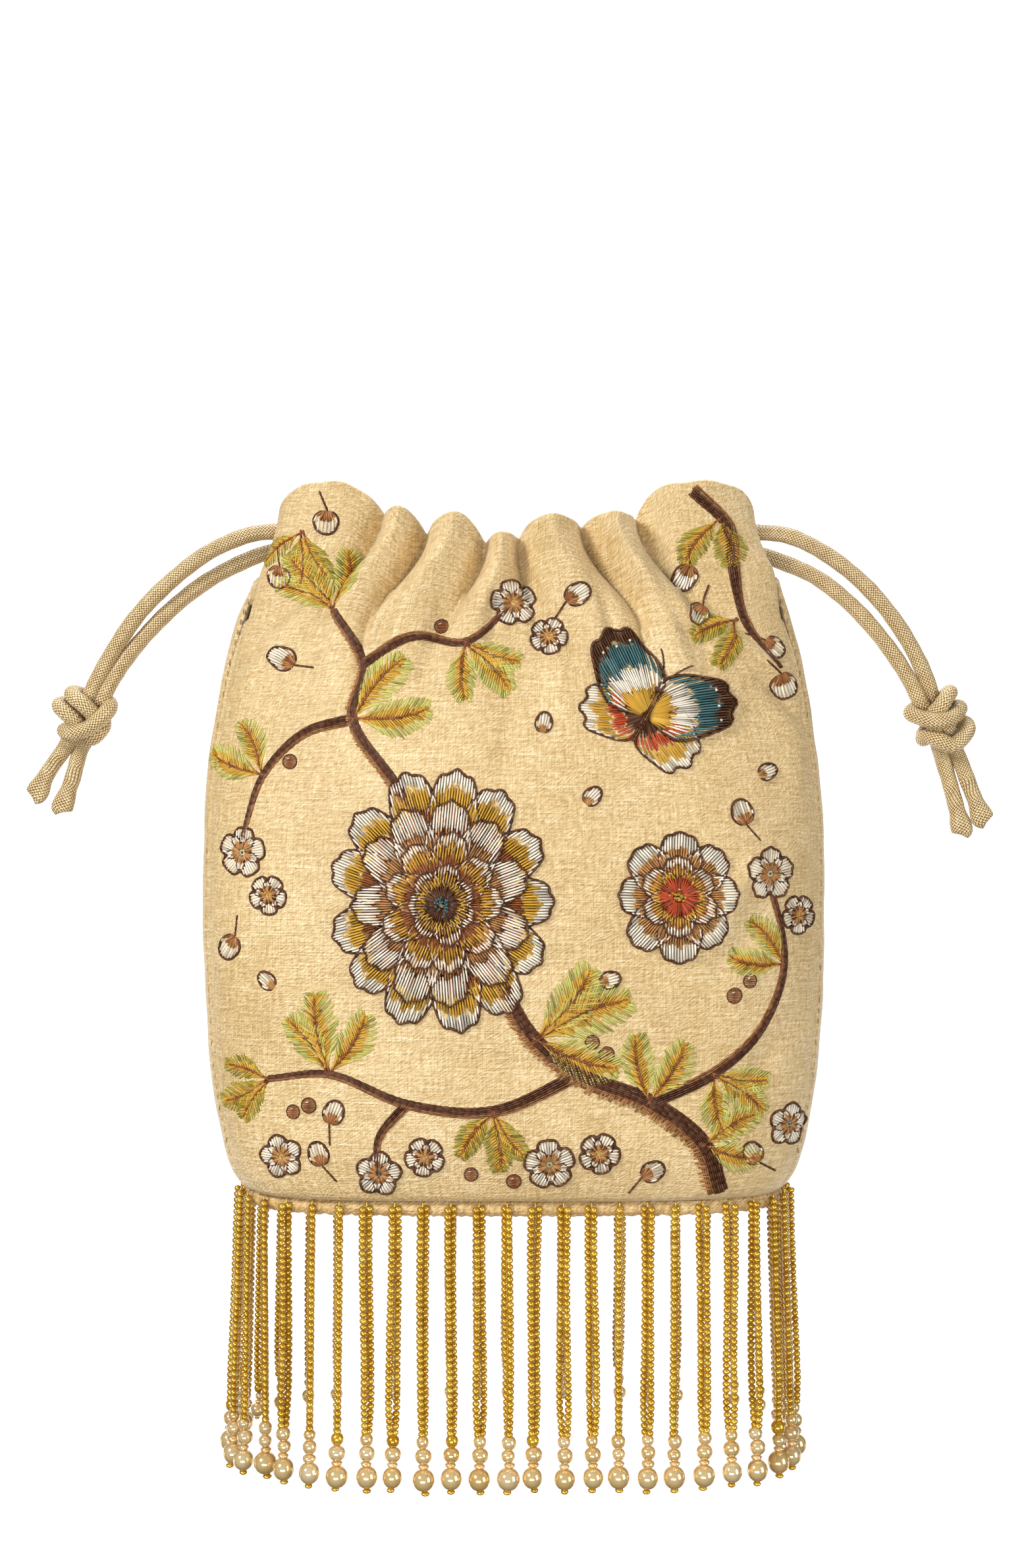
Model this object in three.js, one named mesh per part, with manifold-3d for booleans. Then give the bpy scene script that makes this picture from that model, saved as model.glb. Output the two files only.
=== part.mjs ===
// A drawstring wristlet: a soft cloth pouch with a gathered mouth, an oval base with a corded
// edge, two knotted drawcords and a fringe of beaded strands. Millimetres, +Z up.
// The origin is the middle of the gathered mouth, level with the openings of the drawcords.
// -Y is the front of the pouch and +X is its right side as seen from the front.
import * as THREE from "three";
import { mergeVertices } from "three/addons/utils/BufferGeometryUtils.js";
import Module from "manifold-3d";

const wasm = await Module();
wasm.setup();

// Driving dimensions
const GAP = 0.3; // clearance between pieces that touch
const CLOTH = 1.6; // wall of the pouch: face cloth with its backing
const SEAM_Y = -9; // the side seams lie a little in front of the sides
const HEM_Z = -190.3; // lower edge of the cloth walls
const PIPING_RADIUS = 2.25;
const PIPING_Z = HEM_Z - GAP - PIPING_RADIUS;
const PIPING_INSET = 1.6; // from the hem outline to the middle of the piping
const CORD_RADIUS = 2.2;
const CORD_SIDES = 8;
const CASING_SIDE_Z = -1; // middle of the two drawcords at the sides
const CASING_DIP = 9.4; // the drawcords dip this far between the two sides
const CASING_HALF_HEIGHT = 6.2; // tunnel below the middle of the two cords
const CASING_LIP = 3; // doubled cloth above the tunnel
const MOUTH_HALF_WIDTH = 50; // inner face of the casing
const MOUTH_HALF_DEPTH = 11;
const MOUTH_SQUARE = 2.4;
const FRONT_STRANDS = { first: -12, last: 13, pitch: 7.95, shift: -1.9 }; // along the hem, from
const BACK_STRANDS = { first: -11, last: 11, pitch: 9.13, shift: -2.2 }; // the middle of the side
const STRAND_RADIUS = 1.5; // two seed strings side by side
const STRAND_TOP_Z = PIPING_Z + 1.1;
const STRAND_SIDES = 10;
const SPLAY_DEG = 1.4; // strands at the two ends hang a little outwards

// The smooth form of the pouch, from the hem up: one row for each level.
// square is the exponent of the outline in plan: 2 is an ellipse, more is squarer.
const SECTIONS = [
  { z: HEM_Z, halfWidth: 78.2, halfDepth: 37.4, square: 4 },
  { z: -188.8, halfWidth: 83.4, halfDepth: 40.6, square: 3.9 },
  { z: -184.5, halfWidth: 87.4, halfDepth: 43, square: 3.7 },
  { z: -174, halfWidth: 90, halfDepth: 45, square: 3.4 },
  { z: -154, halfWidth: 92.8, halfDepth: 46.8, square: 3.1 },
  { z: -124, halfWidth: 94, halfDepth: 47.4, square: 2.8 },
  { z: -94, halfWidth: 94, halfDepth: 46.4, square: 2.6 },
  { z: -66, halfWidth: 92.2, halfDepth: 43, square: 2.4 },
  { z: -42, halfWidth: 88.6, halfDepth: 37.6, square: 2.25 },
  { z: -22, halfWidth: 83.8, halfDepth: 31, square: 2.15 },
  { z: -6, halfWidth: 77.6, halfDepth: 25.4, square: 2.1 },
  { z: 6, halfWidth: 75.2, halfDepth: 23.2, square: 2.1 },
  { z: 16, halfWidth: 74.2, halfDepth: 21.6, square: 2.1 },
];

// The gathers of the front lip, left to right. Each fold runs from its left edge to the next one's.
// left and leftZ place the crease before the fold, crestZ is the top of the fold, full is how
// square it is across, bulge is how far it stands out and reach is how far down it fades away.
const FOLDS = [
  { left: -74, leftZ: 7.5, crestZ: 16.8, full: 4.6, bulge: 1.4, reach: 34 },
  { left: -39.6, leftZ: 7.6, crestZ: 7.8, full: 2.2, bulge: 3.4, reach: 46 },
  { left: -26, leftZ: 1.4, crestZ: 5.6, full: 2.4, bulge: 4.2, reach: 62 },
  { left: -8.3, leftZ: -1.4, crestZ: 0.4, full: 2, bulge: 3.4, reach: 40 },
  { left: 1.5, leftZ: -1, crestZ: 5.6, full: 2.4, bulge: 4.4, reach: 58 },
  { left: 20.2, leftZ: 2.4, crestZ: 6.6, full: 2.4, bulge: 4.2, reach: 66 },
  { left: 36.9, leftZ: 5, crestZ: 17, full: 4.6, bulge: 1.6, reach: 38 },
  { left: 74, leftZ: 7.5, crestZ: 7.5, full: 2, bulge: 0, reach: 34 },
];
const BACK_DROP = 5; // the lip of the back lies lower between the two sides
const LIP = FOLDS[FOLDS.length - 1].left; // half the width of the mouth, side seam to middle
const CREASE_DEPTH = 2.4; // how far a crease lies behind the smooth form
const FAN_DEPTH = 30; // the folds fan out over this depth below the lip
const FAN_POWER = 0.64;

// One strand: a seed string that swells into the larger beads at its foot. Radius against
// distance below the top of the strand.
const STRAND_PROFILE = [
  { down: 0, radius: STRAND_RADIUS },
  { down: 67, radius: STRAND_RADIUS },
  { down: 69.5, radius: 2.4 },
  { down: 78.2, radius: 2.9 },
];
const STRAND_LENGTH = 81.2;

// Drawcord routes outside the pouch, from the opening to the knot. The left pair and the right
// pair differ a little, as cords do.
const ROUTES = {
  left: {
    upper: [[-74, -2.6, 3.8], [-81, -2.6, 2.6], [-92.4, -2.2, -2.4], [-104, -1.8, -11.2],
      [-113.4, -1.2, -20.6], [-120.4, -0.8, -30.4], [-125.4, -0.4, -39]],
    lower: [[-74, 2.8, -1.6], [-81, 2.6, -4], [-91.8, 2, -9.6], [-101.8, 1.6, -17],
      [-110, 1, -25], [-116.6, 0.6, -32.8], [-121.4, 0.2, -40]],
    knot: { centre: [-131.2, 0, -51], lean: -24 },
    tails: [[[-136.6, 2.4, -61], [-141.6, 0.6, -69], [-146.8, -0.6, -79.4]],
      [[-132.2, 3.2, -62], [-134.6, 1.6, -71.6], [-138.8, 0.4, -83.6]]],
  },
  right: {
    upper: [[74, -2.6, 3.6], [83, -2.6, 2.6], [93.4, -2.2, -2.2], [104.4, -1.8, -10.4],
      [113.2, -1.2, -19.8], [119.8, -0.8, -29.4], [124.4, -0.4, -38.4]],
    lower: [[74, 2.8, -2.2], [82, 2.6, -4.8], [92, 2, -9.4], [101.6, 1.6, -16.8],
      [109, 1, -24.6], [115.4, 0.6, -33], [120, 0.2, -40.4]],
    knot: { centre: [129, 0, -52.2], lean: 24 },
    tails: [[[130.8, 3.2, -64], [133.6, 1.6, -75], [137.4, 0.4, -90.6]],
      [[135.4, 2.4, -63.4], [139, 0.6, -74], [144, -0.6, -87]]],
  },
};
const KNOT_ALONG = 2.5; // scale of the overhand turn along the cord
const KNOT_ACROSS = 2.4; // and across it
const KNOT_THROUGH = 4.7; // depth of the turn from the middle to the front
const KNOT_RADIUS = 3.4; // the two cords run through the knot pressed together
const KNOT_STEPS = 12;
const RUN_HALF_DEPTH = 15.8; // hidden run of a drawcord inside the casing
const RUN_HALF_WIDTH = 60;
const RUN_SQUARE = 2.6;
const RUN_POINTS = 20;
const CORD_STEPS = 42;
const RUN_LEVEL = 2.9; // the left cord runs this far above the middle of the casing
const RUN_START = 0.5; // radians from the opening to the start of the run

// Finishes
const finish = (color, roughness, metalness) =>
  new THREE.MeshStandardMaterial({ color, roughness, metalness });
const SILK = finish("#e0c08a", 0.55, 0);
const PIPING_SILK = finish("#d6b273", 0.55, 0);
const WAXED_CORD = finish("#d2ac76", 0.6, 0);
const GOLD_BEADS = finish("#d9a336", 0.25, 0.6);

// Solids and meshes
function solidOf(geometry) {
  const plain = geometry.clone();
  plain.deleteAttribute("normal");
  plain.deleteAttribute("uv");
  const merged = mergeVertices(plain, 1e-4);
  return new wasm.Manifold(
    new wasm.Mesh({
      numProp: 3,
      vertProperties: merged.attributes.position.array,
      triVerts: new Uint32Array(merged.index.array),
    }),
  );
}

function meshOf(name, solid, material) {
  const shape = solid.getMesh();
  const geometry = new THREE.BufferGeometry();
  geometry.setAttribute("position", new THREE.BufferAttribute(shape.vertProperties, 3));
  geometry.setIndex(new THREE.BufferAttribute(shape.triVerts, 1));
  geometry.computeVertexNormals();
  const mesh = new THREE.Mesh(geometry, material);
  mesh.name = name;
  return mesh;
}

// A ring of closed loops of points, each loop joined to the next and the last to the first.
function ringGeometry(loops) {
  const across = loops[0].length;
  const positions = loops.flat().flatMap((point) => point.toArray());
  const index = [];
  loops.forEach((loop, i) => {
    const next = (i + 1) % loops.length;
    for (let j = 0; j < across; j++) {
      const a = i * across + j;
      const b = next * across + j;
      const c = next * across + ((j + 1) % across);
      const d = i * across + ((j + 1) % across);
      index.push(a, b, c, a, c, d);
    }
  });
  const geometry = new THREE.BufferGeometry();
  geometry.setAttribute("position", new THREE.Float32BufferAttribute(positions, 3));
  geometry.setIndex(index);
  return geometry;
}

// Interpolation
const smooth = (low, high, value) => THREE.MathUtils.smoothstep(value, low, high);
const mix = THREE.MathUtils.lerp;

// A rounded outline of unit half size: an ellipse at 2, squarer above it.
function squircle(angle, square) {
  const even = (value) => Math.sign(value) * Math.pow(Math.abs(value), 2 / square);
  return new THREE.Vector2(even(Math.cos(angle)), even(Math.sin(angle)));
}

// The smooth form at a level: a curve through the column of SECTIONS.
function formAt(z) {
  const last = SECTIONS.length - 1;
  let i = SECTIONS.findIndex((row) => row.z > z) - 1;
  if (i < -1) i = last - 1;
  i = THREE.MathUtils.clamp(i, 0, last - 1);
  const rows = [i - 1, i, i + 1, i + 2].map((k) => SECTIONS[THREE.MathUtils.clamp(k, 0, last)]);
  const share = THREE.MathUtils.clamp((z - rows[1].z) / (rows[2].z - rows[1].z), 0, 1);
  const column = (name) => {
    const slope = (a, b) => (rows[b][name] - rows[a][name]) / (rows[b].z - rows[a].z || 1);
    const span = rows[2].z - rows[1].z;
    const t2 = share * share;
    const t3 = t2 * share;
    return (
      (2 * t3 - 3 * t2 + 1) * rows[1][name] +
      (t3 - 2 * t2 + share) * span * slope(0, 2) +
      (3 * t2 - 2 * t3) * rows[2][name] +
      (t3 - t2) * span * slope(1, 3)
    );
  };
  return { halfWidth: column("halfWidth"), halfDepth: column("halfDepth"), square: column("square") };
}

// The fold over a place on the lip: its row, the next row, and the place across it from -1 to 1.
function foldOver(lipX) {
  const last = FOLDS.length - 2;
  const found = FOLDS.findIndex((fold, k) => k > 0 && lipX < fold.left) - 1;
  const k = found < 0 ? last : found;
  const middle = (FOLDS[k].left + FOLDS[k + 1].left) / 2;
  const across = THREE.MathUtils.clamp((lipX - middle) / (FOLDS[k + 1].left - middle), -1, 1);
  return { fold: FOLDS[k], next: FOLDS[k + 1], across };
}

// Height of the top edge over a place on the lip. The back has the same folds, seen from behind.
function lipHeight(side, lipX) {
  const { fold, next, across } = foldOver(side < 0 ? lipX : -lipX);
  const crease = mix(fold.leftZ, next.leftZ, (across + 1) / 2);
  return mix(crease, fold.crestZ, 1 - Math.pow(Math.abs(across), fold.full)) - backDrop(side, lipX);
}

function backDrop(side, lipX) {
  return side < 0 ? 0 : BACK_DROP * (1 - Math.pow(lipX / LIP, 4));
}

// How far the gathered cloth stands out from the smooth form, at a depth below the top edge.
function foldRelief(side, lipX, below) {
  const { fold, next, across } = foldOver(side < 0 ? lipX : -lipX);
  const crest = fold.bulge * (1 - smooth(4, fold.reach, below));
  const reach = across < 0 ? fold.reach : next.reach;
  const atSide = Math.abs(lipX) > 70 ? 0 : 1;
  const crease = -CREASE_DEPTH * atSide * (1 - smooth(2, reach, below));
  return mix(crease, crest, 1 - Math.pow(Math.abs(across), 1.7));
}

// A point of the wall. side is -1 on the front and 1 on the back, lipX names the column by its
// place on the lip, and inward moves the point in from the outer face.
function wallPoint(side, lipX, z, inward) {
  const below = lipHeight(side, lipX) - z;
  const form = formAt(z);
  const power = mix(1, FAN_POWER, smooth(0, FAN_DEPTH, below));
  const share = Math.sign(lipX) * Math.pow(Math.min(1, Math.abs(lipX) / LIP), power);
  const width = form.halfWidth;
  const depth = form.halfDepth;
  const rest = Math.pow(Math.max(0, 1 - Math.pow(Math.abs(share), form.square)), 1 / form.square);
  const x = share * width;
  const y = side * rest * depth;
  const normal = new THREE.Vector2(
    (Math.sign(share) * Math.pow(Math.abs(share), form.square - 1)) / width,
    (side * Math.pow(rest, form.square - 1)) / depth,
  ).normalize();
  const out = foldRelief(side, lipX, below) - inward;
  return new THREE.Vector3(x + normal.x * out, y + normal.y * out, z);
}

// The inner face of the casing, smooth and free of folds.
function casingPoint(side, lipX, z, inward) {
  const angle = Math.asin(THREE.MathUtils.clamp(lipX / LIP, -1, 1));
  const plan = squircle(angle, MOUTH_SQUARE);
  return new THREE.Vector3(
    (MOUTH_HALF_WIDTH - inward) * plan.y,
    side * (MOUTH_HALF_DEPTH - inward) * plan.x,
    z,
  );
}

// The top of the inner face, which lies nearer the middle than the outer face of its column.
function casingTop(side, lipX) {
  const { x } = casingPoint(side, lipX, 0, 0);
  return Math.min(lipHeight(side, lipX), lipHeight(side, x));
}

// The level of the drawcords inside the casing, over a place on the lip.
function casingLevel(side, lipX) {
  const dip = CASING_DIP * Math.pow(Math.cos((Math.PI / 2) * (lipX / LIP)), 2);
  return CASING_SIDE_Z - dip - backDrop(side, lipX);
}

// Columns round the pouch, at the creases and at parts of the way across each fold. The two
// outer folds are broad, and reach round to the side seams.
function columns() {
  const across = (parts) =>
    FOLDS.slice(0, -1).flatMap((fold, k) =>
      parts.map((part) => mix(fold.left, FOLDS[k + 1].left, part)),
    );
  return [
    ...across([0, 0.22, 0.5, 0.78]).map((lipX) => ({ side: -1, lipX })),
    ...across([0, 0.28, 0.72]).map((lipX) => ({ side: 1, lipX: -lipX })),
  ];
}

const WALL_LEVELS = [0, 0.008, 0.03, 0.1, 0.25, 0.45, 0.64, 0.78, 0.865, 0.93, 0.975];
const LINING_LEVELS = [0, 0.03, 0.1, 0.25, 0.45, 0.66];

// The whole wall: up the outer face, over the lip, down the casing and down the inner face.
function wallSolid() {
  const loops = columns().map(({ side, lipX }) => {
    const top = lipHeight(side, lipX);
    const level = (share) => mix(HEM_Z, top, share);
    const casingFoot = casingLevel(side, lipX) - CASING_HALF_HEIGHT - CLOTH;
    const outer = WALL_LEVELS.map((share) => wallPoint(side, lipX, level(share), 0));
    const ridge = wallPoint(side, lipX, top, 2.2);
    const innerTop = casingTop(side, lipX);
    const innerRidge = casingPoint(side, lipX, innerTop - 0.6, -1.6);
    const casing = [innerTop - 3, casingFoot].map((z) => casingPoint(side, lipX, z, 0));
    const under = wallPoint(side, lipX, casingFoot - 5, CLOTH);
    const inner = LINING_LEVELS.map((share) => wallPoint(side, lipX, level(share), CLOTH)).reverse();
    return [...outer, ridge, innerRidge, ...casing, under, ...inner];
  });
  return solidOf(ringGeometry(loops));
}

// The tunnel that the drawcords run through, between the two layers of the casing.
function tunnelSolid() {
  const loops = columns().map(({ side, lipX }) => {
    const top = lipHeight(side, lipX) - CASING_LIP;
    const foot = casingLevel(side, lipX) - CASING_HALF_HEIGHT;
    const outer = [foot, (foot + top) / 2, top].map((z) => wallPoint(side, lipX, z, CLOTH));
    const innerTop = casingTop(side, lipX) - CASING_LIP;
    const inner = [innerTop, foot].map((z) => casingPoint(side, lipX, z, -CLOTH));
    return [...outer, ...inner];
  });
  return solidOf(ringGeometry(loops));
}

function boxSolid(low, high) {
  const size = high.clone().sub(low);
  const middle = low.clone().add(high).multiplyScalar(0.5);
  const box = new THREE.BoxGeometry(size.x, size.y, size.z);
  return solidOf(box.translate(middle.x, middle.y, middle.z));
}

// An opening in the side seam for the two ends of a drawcord.
function cordOpening(sign) {
  const hole = new THREE.CylinderGeometry(1, 1, 26, 14);
  hole.scale(8.4, 1, 7.2);
  hole.rotateZ(Math.PI / 2);
  return solidOf(hole.translate(sign * 73, 0, 0.4));
}

function panelMeshes() {
  const FAR = 400;
  const walls = wallSolid()
    .subtract(tunnelSolid())
    .subtract(cordOpening(-1))
    .subtract(cordOpening(1));
  const front = boxSolid(
    new THREE.Vector3(-FAR, -FAR, -FAR),
    new THREE.Vector3(FAR, SEAM_Y - GAP / 2, FAR),
  );
  const back = boxSolid(
    new THREE.Vector3(-FAR, SEAM_Y + GAP / 2, -FAR),
    new THREE.Vector3(FAR, FAR, FAR),
  );
  return [
    meshOf("front_panel", walls.intersect(front), SILK),
    meshOf("back_panel", walls.intersect(back), SILK),
  ];
}

// The outline of the base in plan, moved out from the middle of the piping. It starts at the middle
// of the front and runs by the right.
function baseOutline(outward) {
  const { halfWidth, halfDepth, square } = SECTIONS[0];
  const a = halfWidth - PIPING_INSET;
  const b = halfDepth - PIPING_INSET;
  const dense = 720;
  const points = [];
  for (let i = 0; i < dense; i++) {
    const plan = squircle((i / dense) * 2 * Math.PI - Math.PI / 2, square);
    const normal = new THREE.Vector2(
      (Math.sign(plan.x) * Math.pow(Math.abs(plan.x), square - 1)) / a,
      (Math.sign(plan.y) * Math.pow(Math.abs(plan.y), square - 1)) / b,
    ).setLength(outward);
    points.push(new THREE.Vector3(a * plan.x + normal.x, b * plan.y + normal.y, 0));
  }
  const curve = new THREE.CatmullRomCurve3(points, true);
  curve.arcLengthDivisions = 2 * dense;
  return curve;
}

const evenly = (curve, count) =>
  Array.from({ length: count }, (_, i) => curve.getPointAt(i / count));

function basePanel() {
  const inside = evenly(baseOutline(-PIPING_RADIUS - GAP), 40);
  const outline = inside.map((p) => new THREE.Vector2(p.x, p.y));
  const plate = new THREE.ExtrudeGeometry(new THREE.Shape(outline), {
    depth: CLOTH,
    bevelEnabled: false,
  });
  plate.translate(0, 0, PIPING_Z - CLOTH / 2);
  return meshOf("base_panel", solidOf(plate), SILK);
}

function basePiping() {
  const sides = 8;
  const count = 64;
  const loops = evenly(baseOutline(0), count).map((middle, i, all) => {
    const before = all[(i + count - 1) % count];
    const after = all[(i + 1) % count];
    const along = after.clone().sub(before).normalize();
    const out = new THREE.Vector3(along.y, -along.x, 0);
    return Array.from({ length: sides }, (_, j) => {
      const angle = (2 * Math.PI * (j + 0.5)) / sides;
      return middle
        .clone()
        .addScaledVector(out, PIPING_RADIUS * Math.cos(angle))
        .add(new THREE.Vector3(0, 0, PIPING_Z + PIPING_RADIUS * Math.sin(angle)));
    });
  });
  return meshOf("base_piping", solidOf(ringGeometry(loops)), PIPING_SILK);
}

function beadStrand() {
  const profile = [
    { down: STRAND_LENGTH, radius: 0 },
    ...[...STRAND_PROFILE].reverse(),
    { down: 0, radius: 0 },
  ].map(({ down, radius }) => new THREE.Vector2(radius, -down));
  return new THREE.LatheGeometry(profile, STRAND_SIDES).rotateX(Math.PI / 2);
}

// Places of the strands along the hem. Those of the back hang a little wider apart, so that from
// the front they stand behind the others.
function strandPlaces() {
  const hem = baseOutline(PIPING_RADIUS + GAP + STRAND_RADIUS);
  const round = hem.getLength();
  const row = ({ first, last, pitch, shift }, from, way) =>
    Array.from({ length: last - first + 1 }, (_, i) => from + way * (shift + (first + i) * pitch));
  const along = [...row(FRONT_STRANDS, 0, 1), ...row(BACK_STRANDS, round / 2, -1).reverse()];
  return along.map((distance) => hem.getPointAt((distance / round + 1) % 1));
}

function fringe() {
  const group = new THREE.Group();
  const geometry = mergeVertices(beadStrand().deleteAttribute("normal").deleteAttribute("uv"));
  geometry.computeVertexNormals();
  strandPlaces().forEach((place, i) => {
    const strand = new THREE.Mesh(geometry, GOLD_BEADS);
    strand.name = "bead_strand_" + String(i + 1).padStart(2, "0");
    strand.position.set(place.x, place.y, STRAND_TOP_Z);
    const aside = place.x / SECTIONS[0].halfWidth;
    const splay = SPLAY_DEG * Math.sign(aside) * Math.pow(Math.abs(aside), 6);
    strand.rotation.y = THREE.MathUtils.degToRad(-splay);
    group.add(strand);
  });
  return group;
}

// A tube along a smooth curve through points.
function tubeSolid(points, steps, radius = CORD_RADIUS) {
  const section = new THREE.Shape();
  section.absarc(0, 0, radius, 0, 2 * Math.PI);
  const outline = new THREE.Shape(section.getSpacedPoints(CORD_SIDES).slice(0, CORD_SIDES));
  const path = new THREE.CatmullRomCurve3(points, false, "centripetal");
  const tube = new THREE.ExtrudeGeometry(outline, { steps, extrudePath: path, bevelEnabled: false });
  return solidOf(tube);
}

// The turns of a knot are pulled tight, so the small hollows shut in between them are filled.
function outerSkin(solid) {
  return solid.decompose().reduce((most, next) => (next.volume() > most.volume() ? next : most));
}

// The way of a pair of cords through their overhand knot: a trefoil cut open where they enter and
// leave, on the side towards the pouch.
function knotPath(sign, { centre, lean }) {
  const down = new THREE.Vector3(0, 0, -1).applyAxisAngle(
    new THREE.Vector3(0, 1, 0),
    THREE.MathUtils.degToRad(-lean),
  );
  const toViewer = new THREE.Vector3(0, -1, 0);
  const across = new THREE.Vector3().crossVectors(toViewer, down).multiplyScalar(sign);
  return Array.from({ length: KNOT_STEPS + 1 }, (_, i) => {
    const t = Math.PI * mix(1.04, 2.96, i / KNOT_STEPS);
    return new THREE.Vector3(...centre)
      .addScaledVector(down, KNOT_ALONG * (Math.sin(t) + 2 * Math.sin(2 * t)))
      .addScaledVector(across, KNOT_ACROSS * (Math.cos(t) - 2 * Math.cos(2 * t) + 0.6))
      .addScaledVector(toViewer, -KNOT_THROUGH * Math.sin(3 * t));
  });
}

// The hidden run of a drawcord inside the casing, from its upper end right round to its lower end.
function hiddenRun(sign) {
  const level = sign < 0 ? RUN_LEVEL : -RUN_LEVEL;
  return Array.from({ length: RUN_POINTS + 1 }, (_, i) => {
    const plan = squircle(mix(RUN_START, 2 * Math.PI - RUN_START, i / RUN_POINTS), RUN_SQUARE);
    return new THREE.Vector3(
      sign * RUN_HALF_WIDTH * plan.x,
      -RUN_HALF_DEPTH * plan.y,
      casingLevel(-plan.y, sign * plan.x * LIP) + level,
    );
  });
}

// A drawcord: up one arch, round inside the casing and down the other arch, then both ends
// together through the knot and out as two tails.
function drawcord(name, sign, route) {
  const vectors = (list) => list.map((p) => new THREE.Vector3(...p));
  const between = (a, b, share = 0.5) => new THREE.Vector3().lerpVectors(a, b, share);
  const upper = vectors(route.upper);
  const lower = vectors(route.lower);
  const tails = route.tails.map(vectors);
  const knot = [
    between(upper[upper.length - 1], lower[lower.length - 1]),
    ...knotPath(sign, route.knot),
    between(tails[0][0], tails[1][0]),
  ];
  const last = knot.length - 1;
  const half = Math.floor(last / 2);
  const intoKnot = between(knot[0], knot[1], 0.3);
  const outOfKnot = between(knot[last], knot[last - 1], 0.3);
  const solids = [
    tubeSolid([intoKnot, ...upper.reverse(), ...hiddenRun(sign), ...lower, intoKnot], CORD_STEPS),
    tubeSolid(knot.slice(0, half + 1), half, KNOT_RADIUS),
    tubeSolid(knot.slice(half), last - half, KNOT_RADIUS),
    ...tails.map((tail) => tubeSolid([outOfKnot, ...tail], 3)),
  ];
  const joined = solids.reduce((whole, next) => whole.add(next));
  return meshOf(name, outerSkin(joined), WAXED_CORD);
}

const wristlet = new THREE.Group();
wristlet.add(...panelMeshes(), basePanel(), basePiping(), fringe());
wristlet.add(drawcord("drawcord_left", -1, ROUTES.left));
wristlet.add(drawcord("drawcord_right", 1, ROUTES.right));

export default wristlet;
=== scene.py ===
# %% [markdown]
# # A silk wristlet with a beaded fringe
#
# This lesson dresses the plain solids of a small drawstring pouch. The solids give the true sizes.
# Here they get what a camera sees: folded silk, stitched flowers, braided cord and small beads.
# Every length in the tables is in millimetres, and is turned into metres when a mesh is made.

# %% Load the solids
import math

import bpy
import numpy as np
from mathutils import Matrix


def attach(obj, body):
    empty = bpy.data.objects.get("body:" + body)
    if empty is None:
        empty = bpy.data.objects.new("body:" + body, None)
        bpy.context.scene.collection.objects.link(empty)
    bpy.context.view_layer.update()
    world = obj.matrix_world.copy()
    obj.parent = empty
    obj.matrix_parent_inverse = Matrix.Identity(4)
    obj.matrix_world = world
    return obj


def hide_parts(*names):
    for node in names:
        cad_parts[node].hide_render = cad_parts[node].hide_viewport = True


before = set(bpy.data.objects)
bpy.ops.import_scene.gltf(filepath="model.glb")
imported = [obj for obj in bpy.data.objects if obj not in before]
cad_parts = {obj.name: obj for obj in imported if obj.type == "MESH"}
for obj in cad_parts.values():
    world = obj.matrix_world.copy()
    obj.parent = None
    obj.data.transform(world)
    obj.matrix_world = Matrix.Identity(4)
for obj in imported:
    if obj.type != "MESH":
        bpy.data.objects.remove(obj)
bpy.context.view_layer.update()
MM = 0.001
chance = np.random.default_rng(7)
print("solids:", len(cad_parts))

# %% [markdown]
# ## The camera
#
# The photograph looks level at the front of the pouch from a little over half a metre. A camera that
# close makes the front of the fringe look longer than the back, so its distance matters as much as
# its aim. The lens follows from the distance and from the size of the pouch in the picture.

# %% Camera
SENSOR_MM, FOCAL_PX, PHOTO_HEIGHT_PX = 36, 2900, 2380
camera = bpy.data.objects.new("camera", bpy.data.cameras.new("camera"))
camera.location = (-0.0008, -0.58, -0.0724)
camera.rotation_euler = (math.pi / 2, 0, 0)
camera.data.lens = SENSOR_MM * FOCAL_PX / PHOTO_HEIGHT_PX
bpy.context.scene.collection.objects.link(camera)
bpy.context.scene.camera = camera
print("camera lens:", round(camera.data.lens, 1), "mm")

# %% [markdown]
# ## The room
#
# A white sweep is a floor that bends up into a wall, so that no line shows behind the object. Large
# soft lamps stand round it. A metal bead shows the room more than itself, so the lamps are also what
# gives each bead its bright spot; its dark edge comes partly from the room and partly from painted
# shade in the bead finishes. The sky gives a dim light of its own, but where it is seen past the
# sweep it is as pale as the paper.

# %% Sweep
def sweep_mesh(floor=-0.36, near=0.05, far=1.0, bend=0.7, top=3.0, half_width=1.0):
    """A floor from near to far, a bend of that radius and a wall up to the top, in metres."""
    turn = np.linspace(0, math.pi / 2, 24)
    line = [(near, floor)]
    line += [(far + bend * math.sin(a), floor + bend * (1 - math.cos(a))) for a in turn]
    line.append((far + bend, top))
    points = [(x, y, z) for y, z in line for x in (-half_width, half_width)]
    faces = [(2 * i, 2 * i + 1, 2 * i + 3, 2 * i + 2) for i in range(len(line) - 1)]
    mesh = bpy.data.meshes.new("sweep")
    mesh.from_pydata(points, [], faces)
    mesh.shade_smooth()
    return mesh


sweep = bpy.data.objects.new("sweep", sweep_mesh())
bpy.context.scene.collection.objects.link(sweep)
paper = bpy.data.materials.new("white_paper")
paper.use_nodes = True
paper_shader = paper.node_tree.nodes["Principled BSDF"]
paper_shader.inputs["Base Color"].default_value = (0.92, 0.92, 0.915, 1)
paper_shader.inputs["Roughness"].default_value = 0.9
sweep.data.materials.append(paper)
print("sweep faces:", len(sweep.data.polygons))


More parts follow.
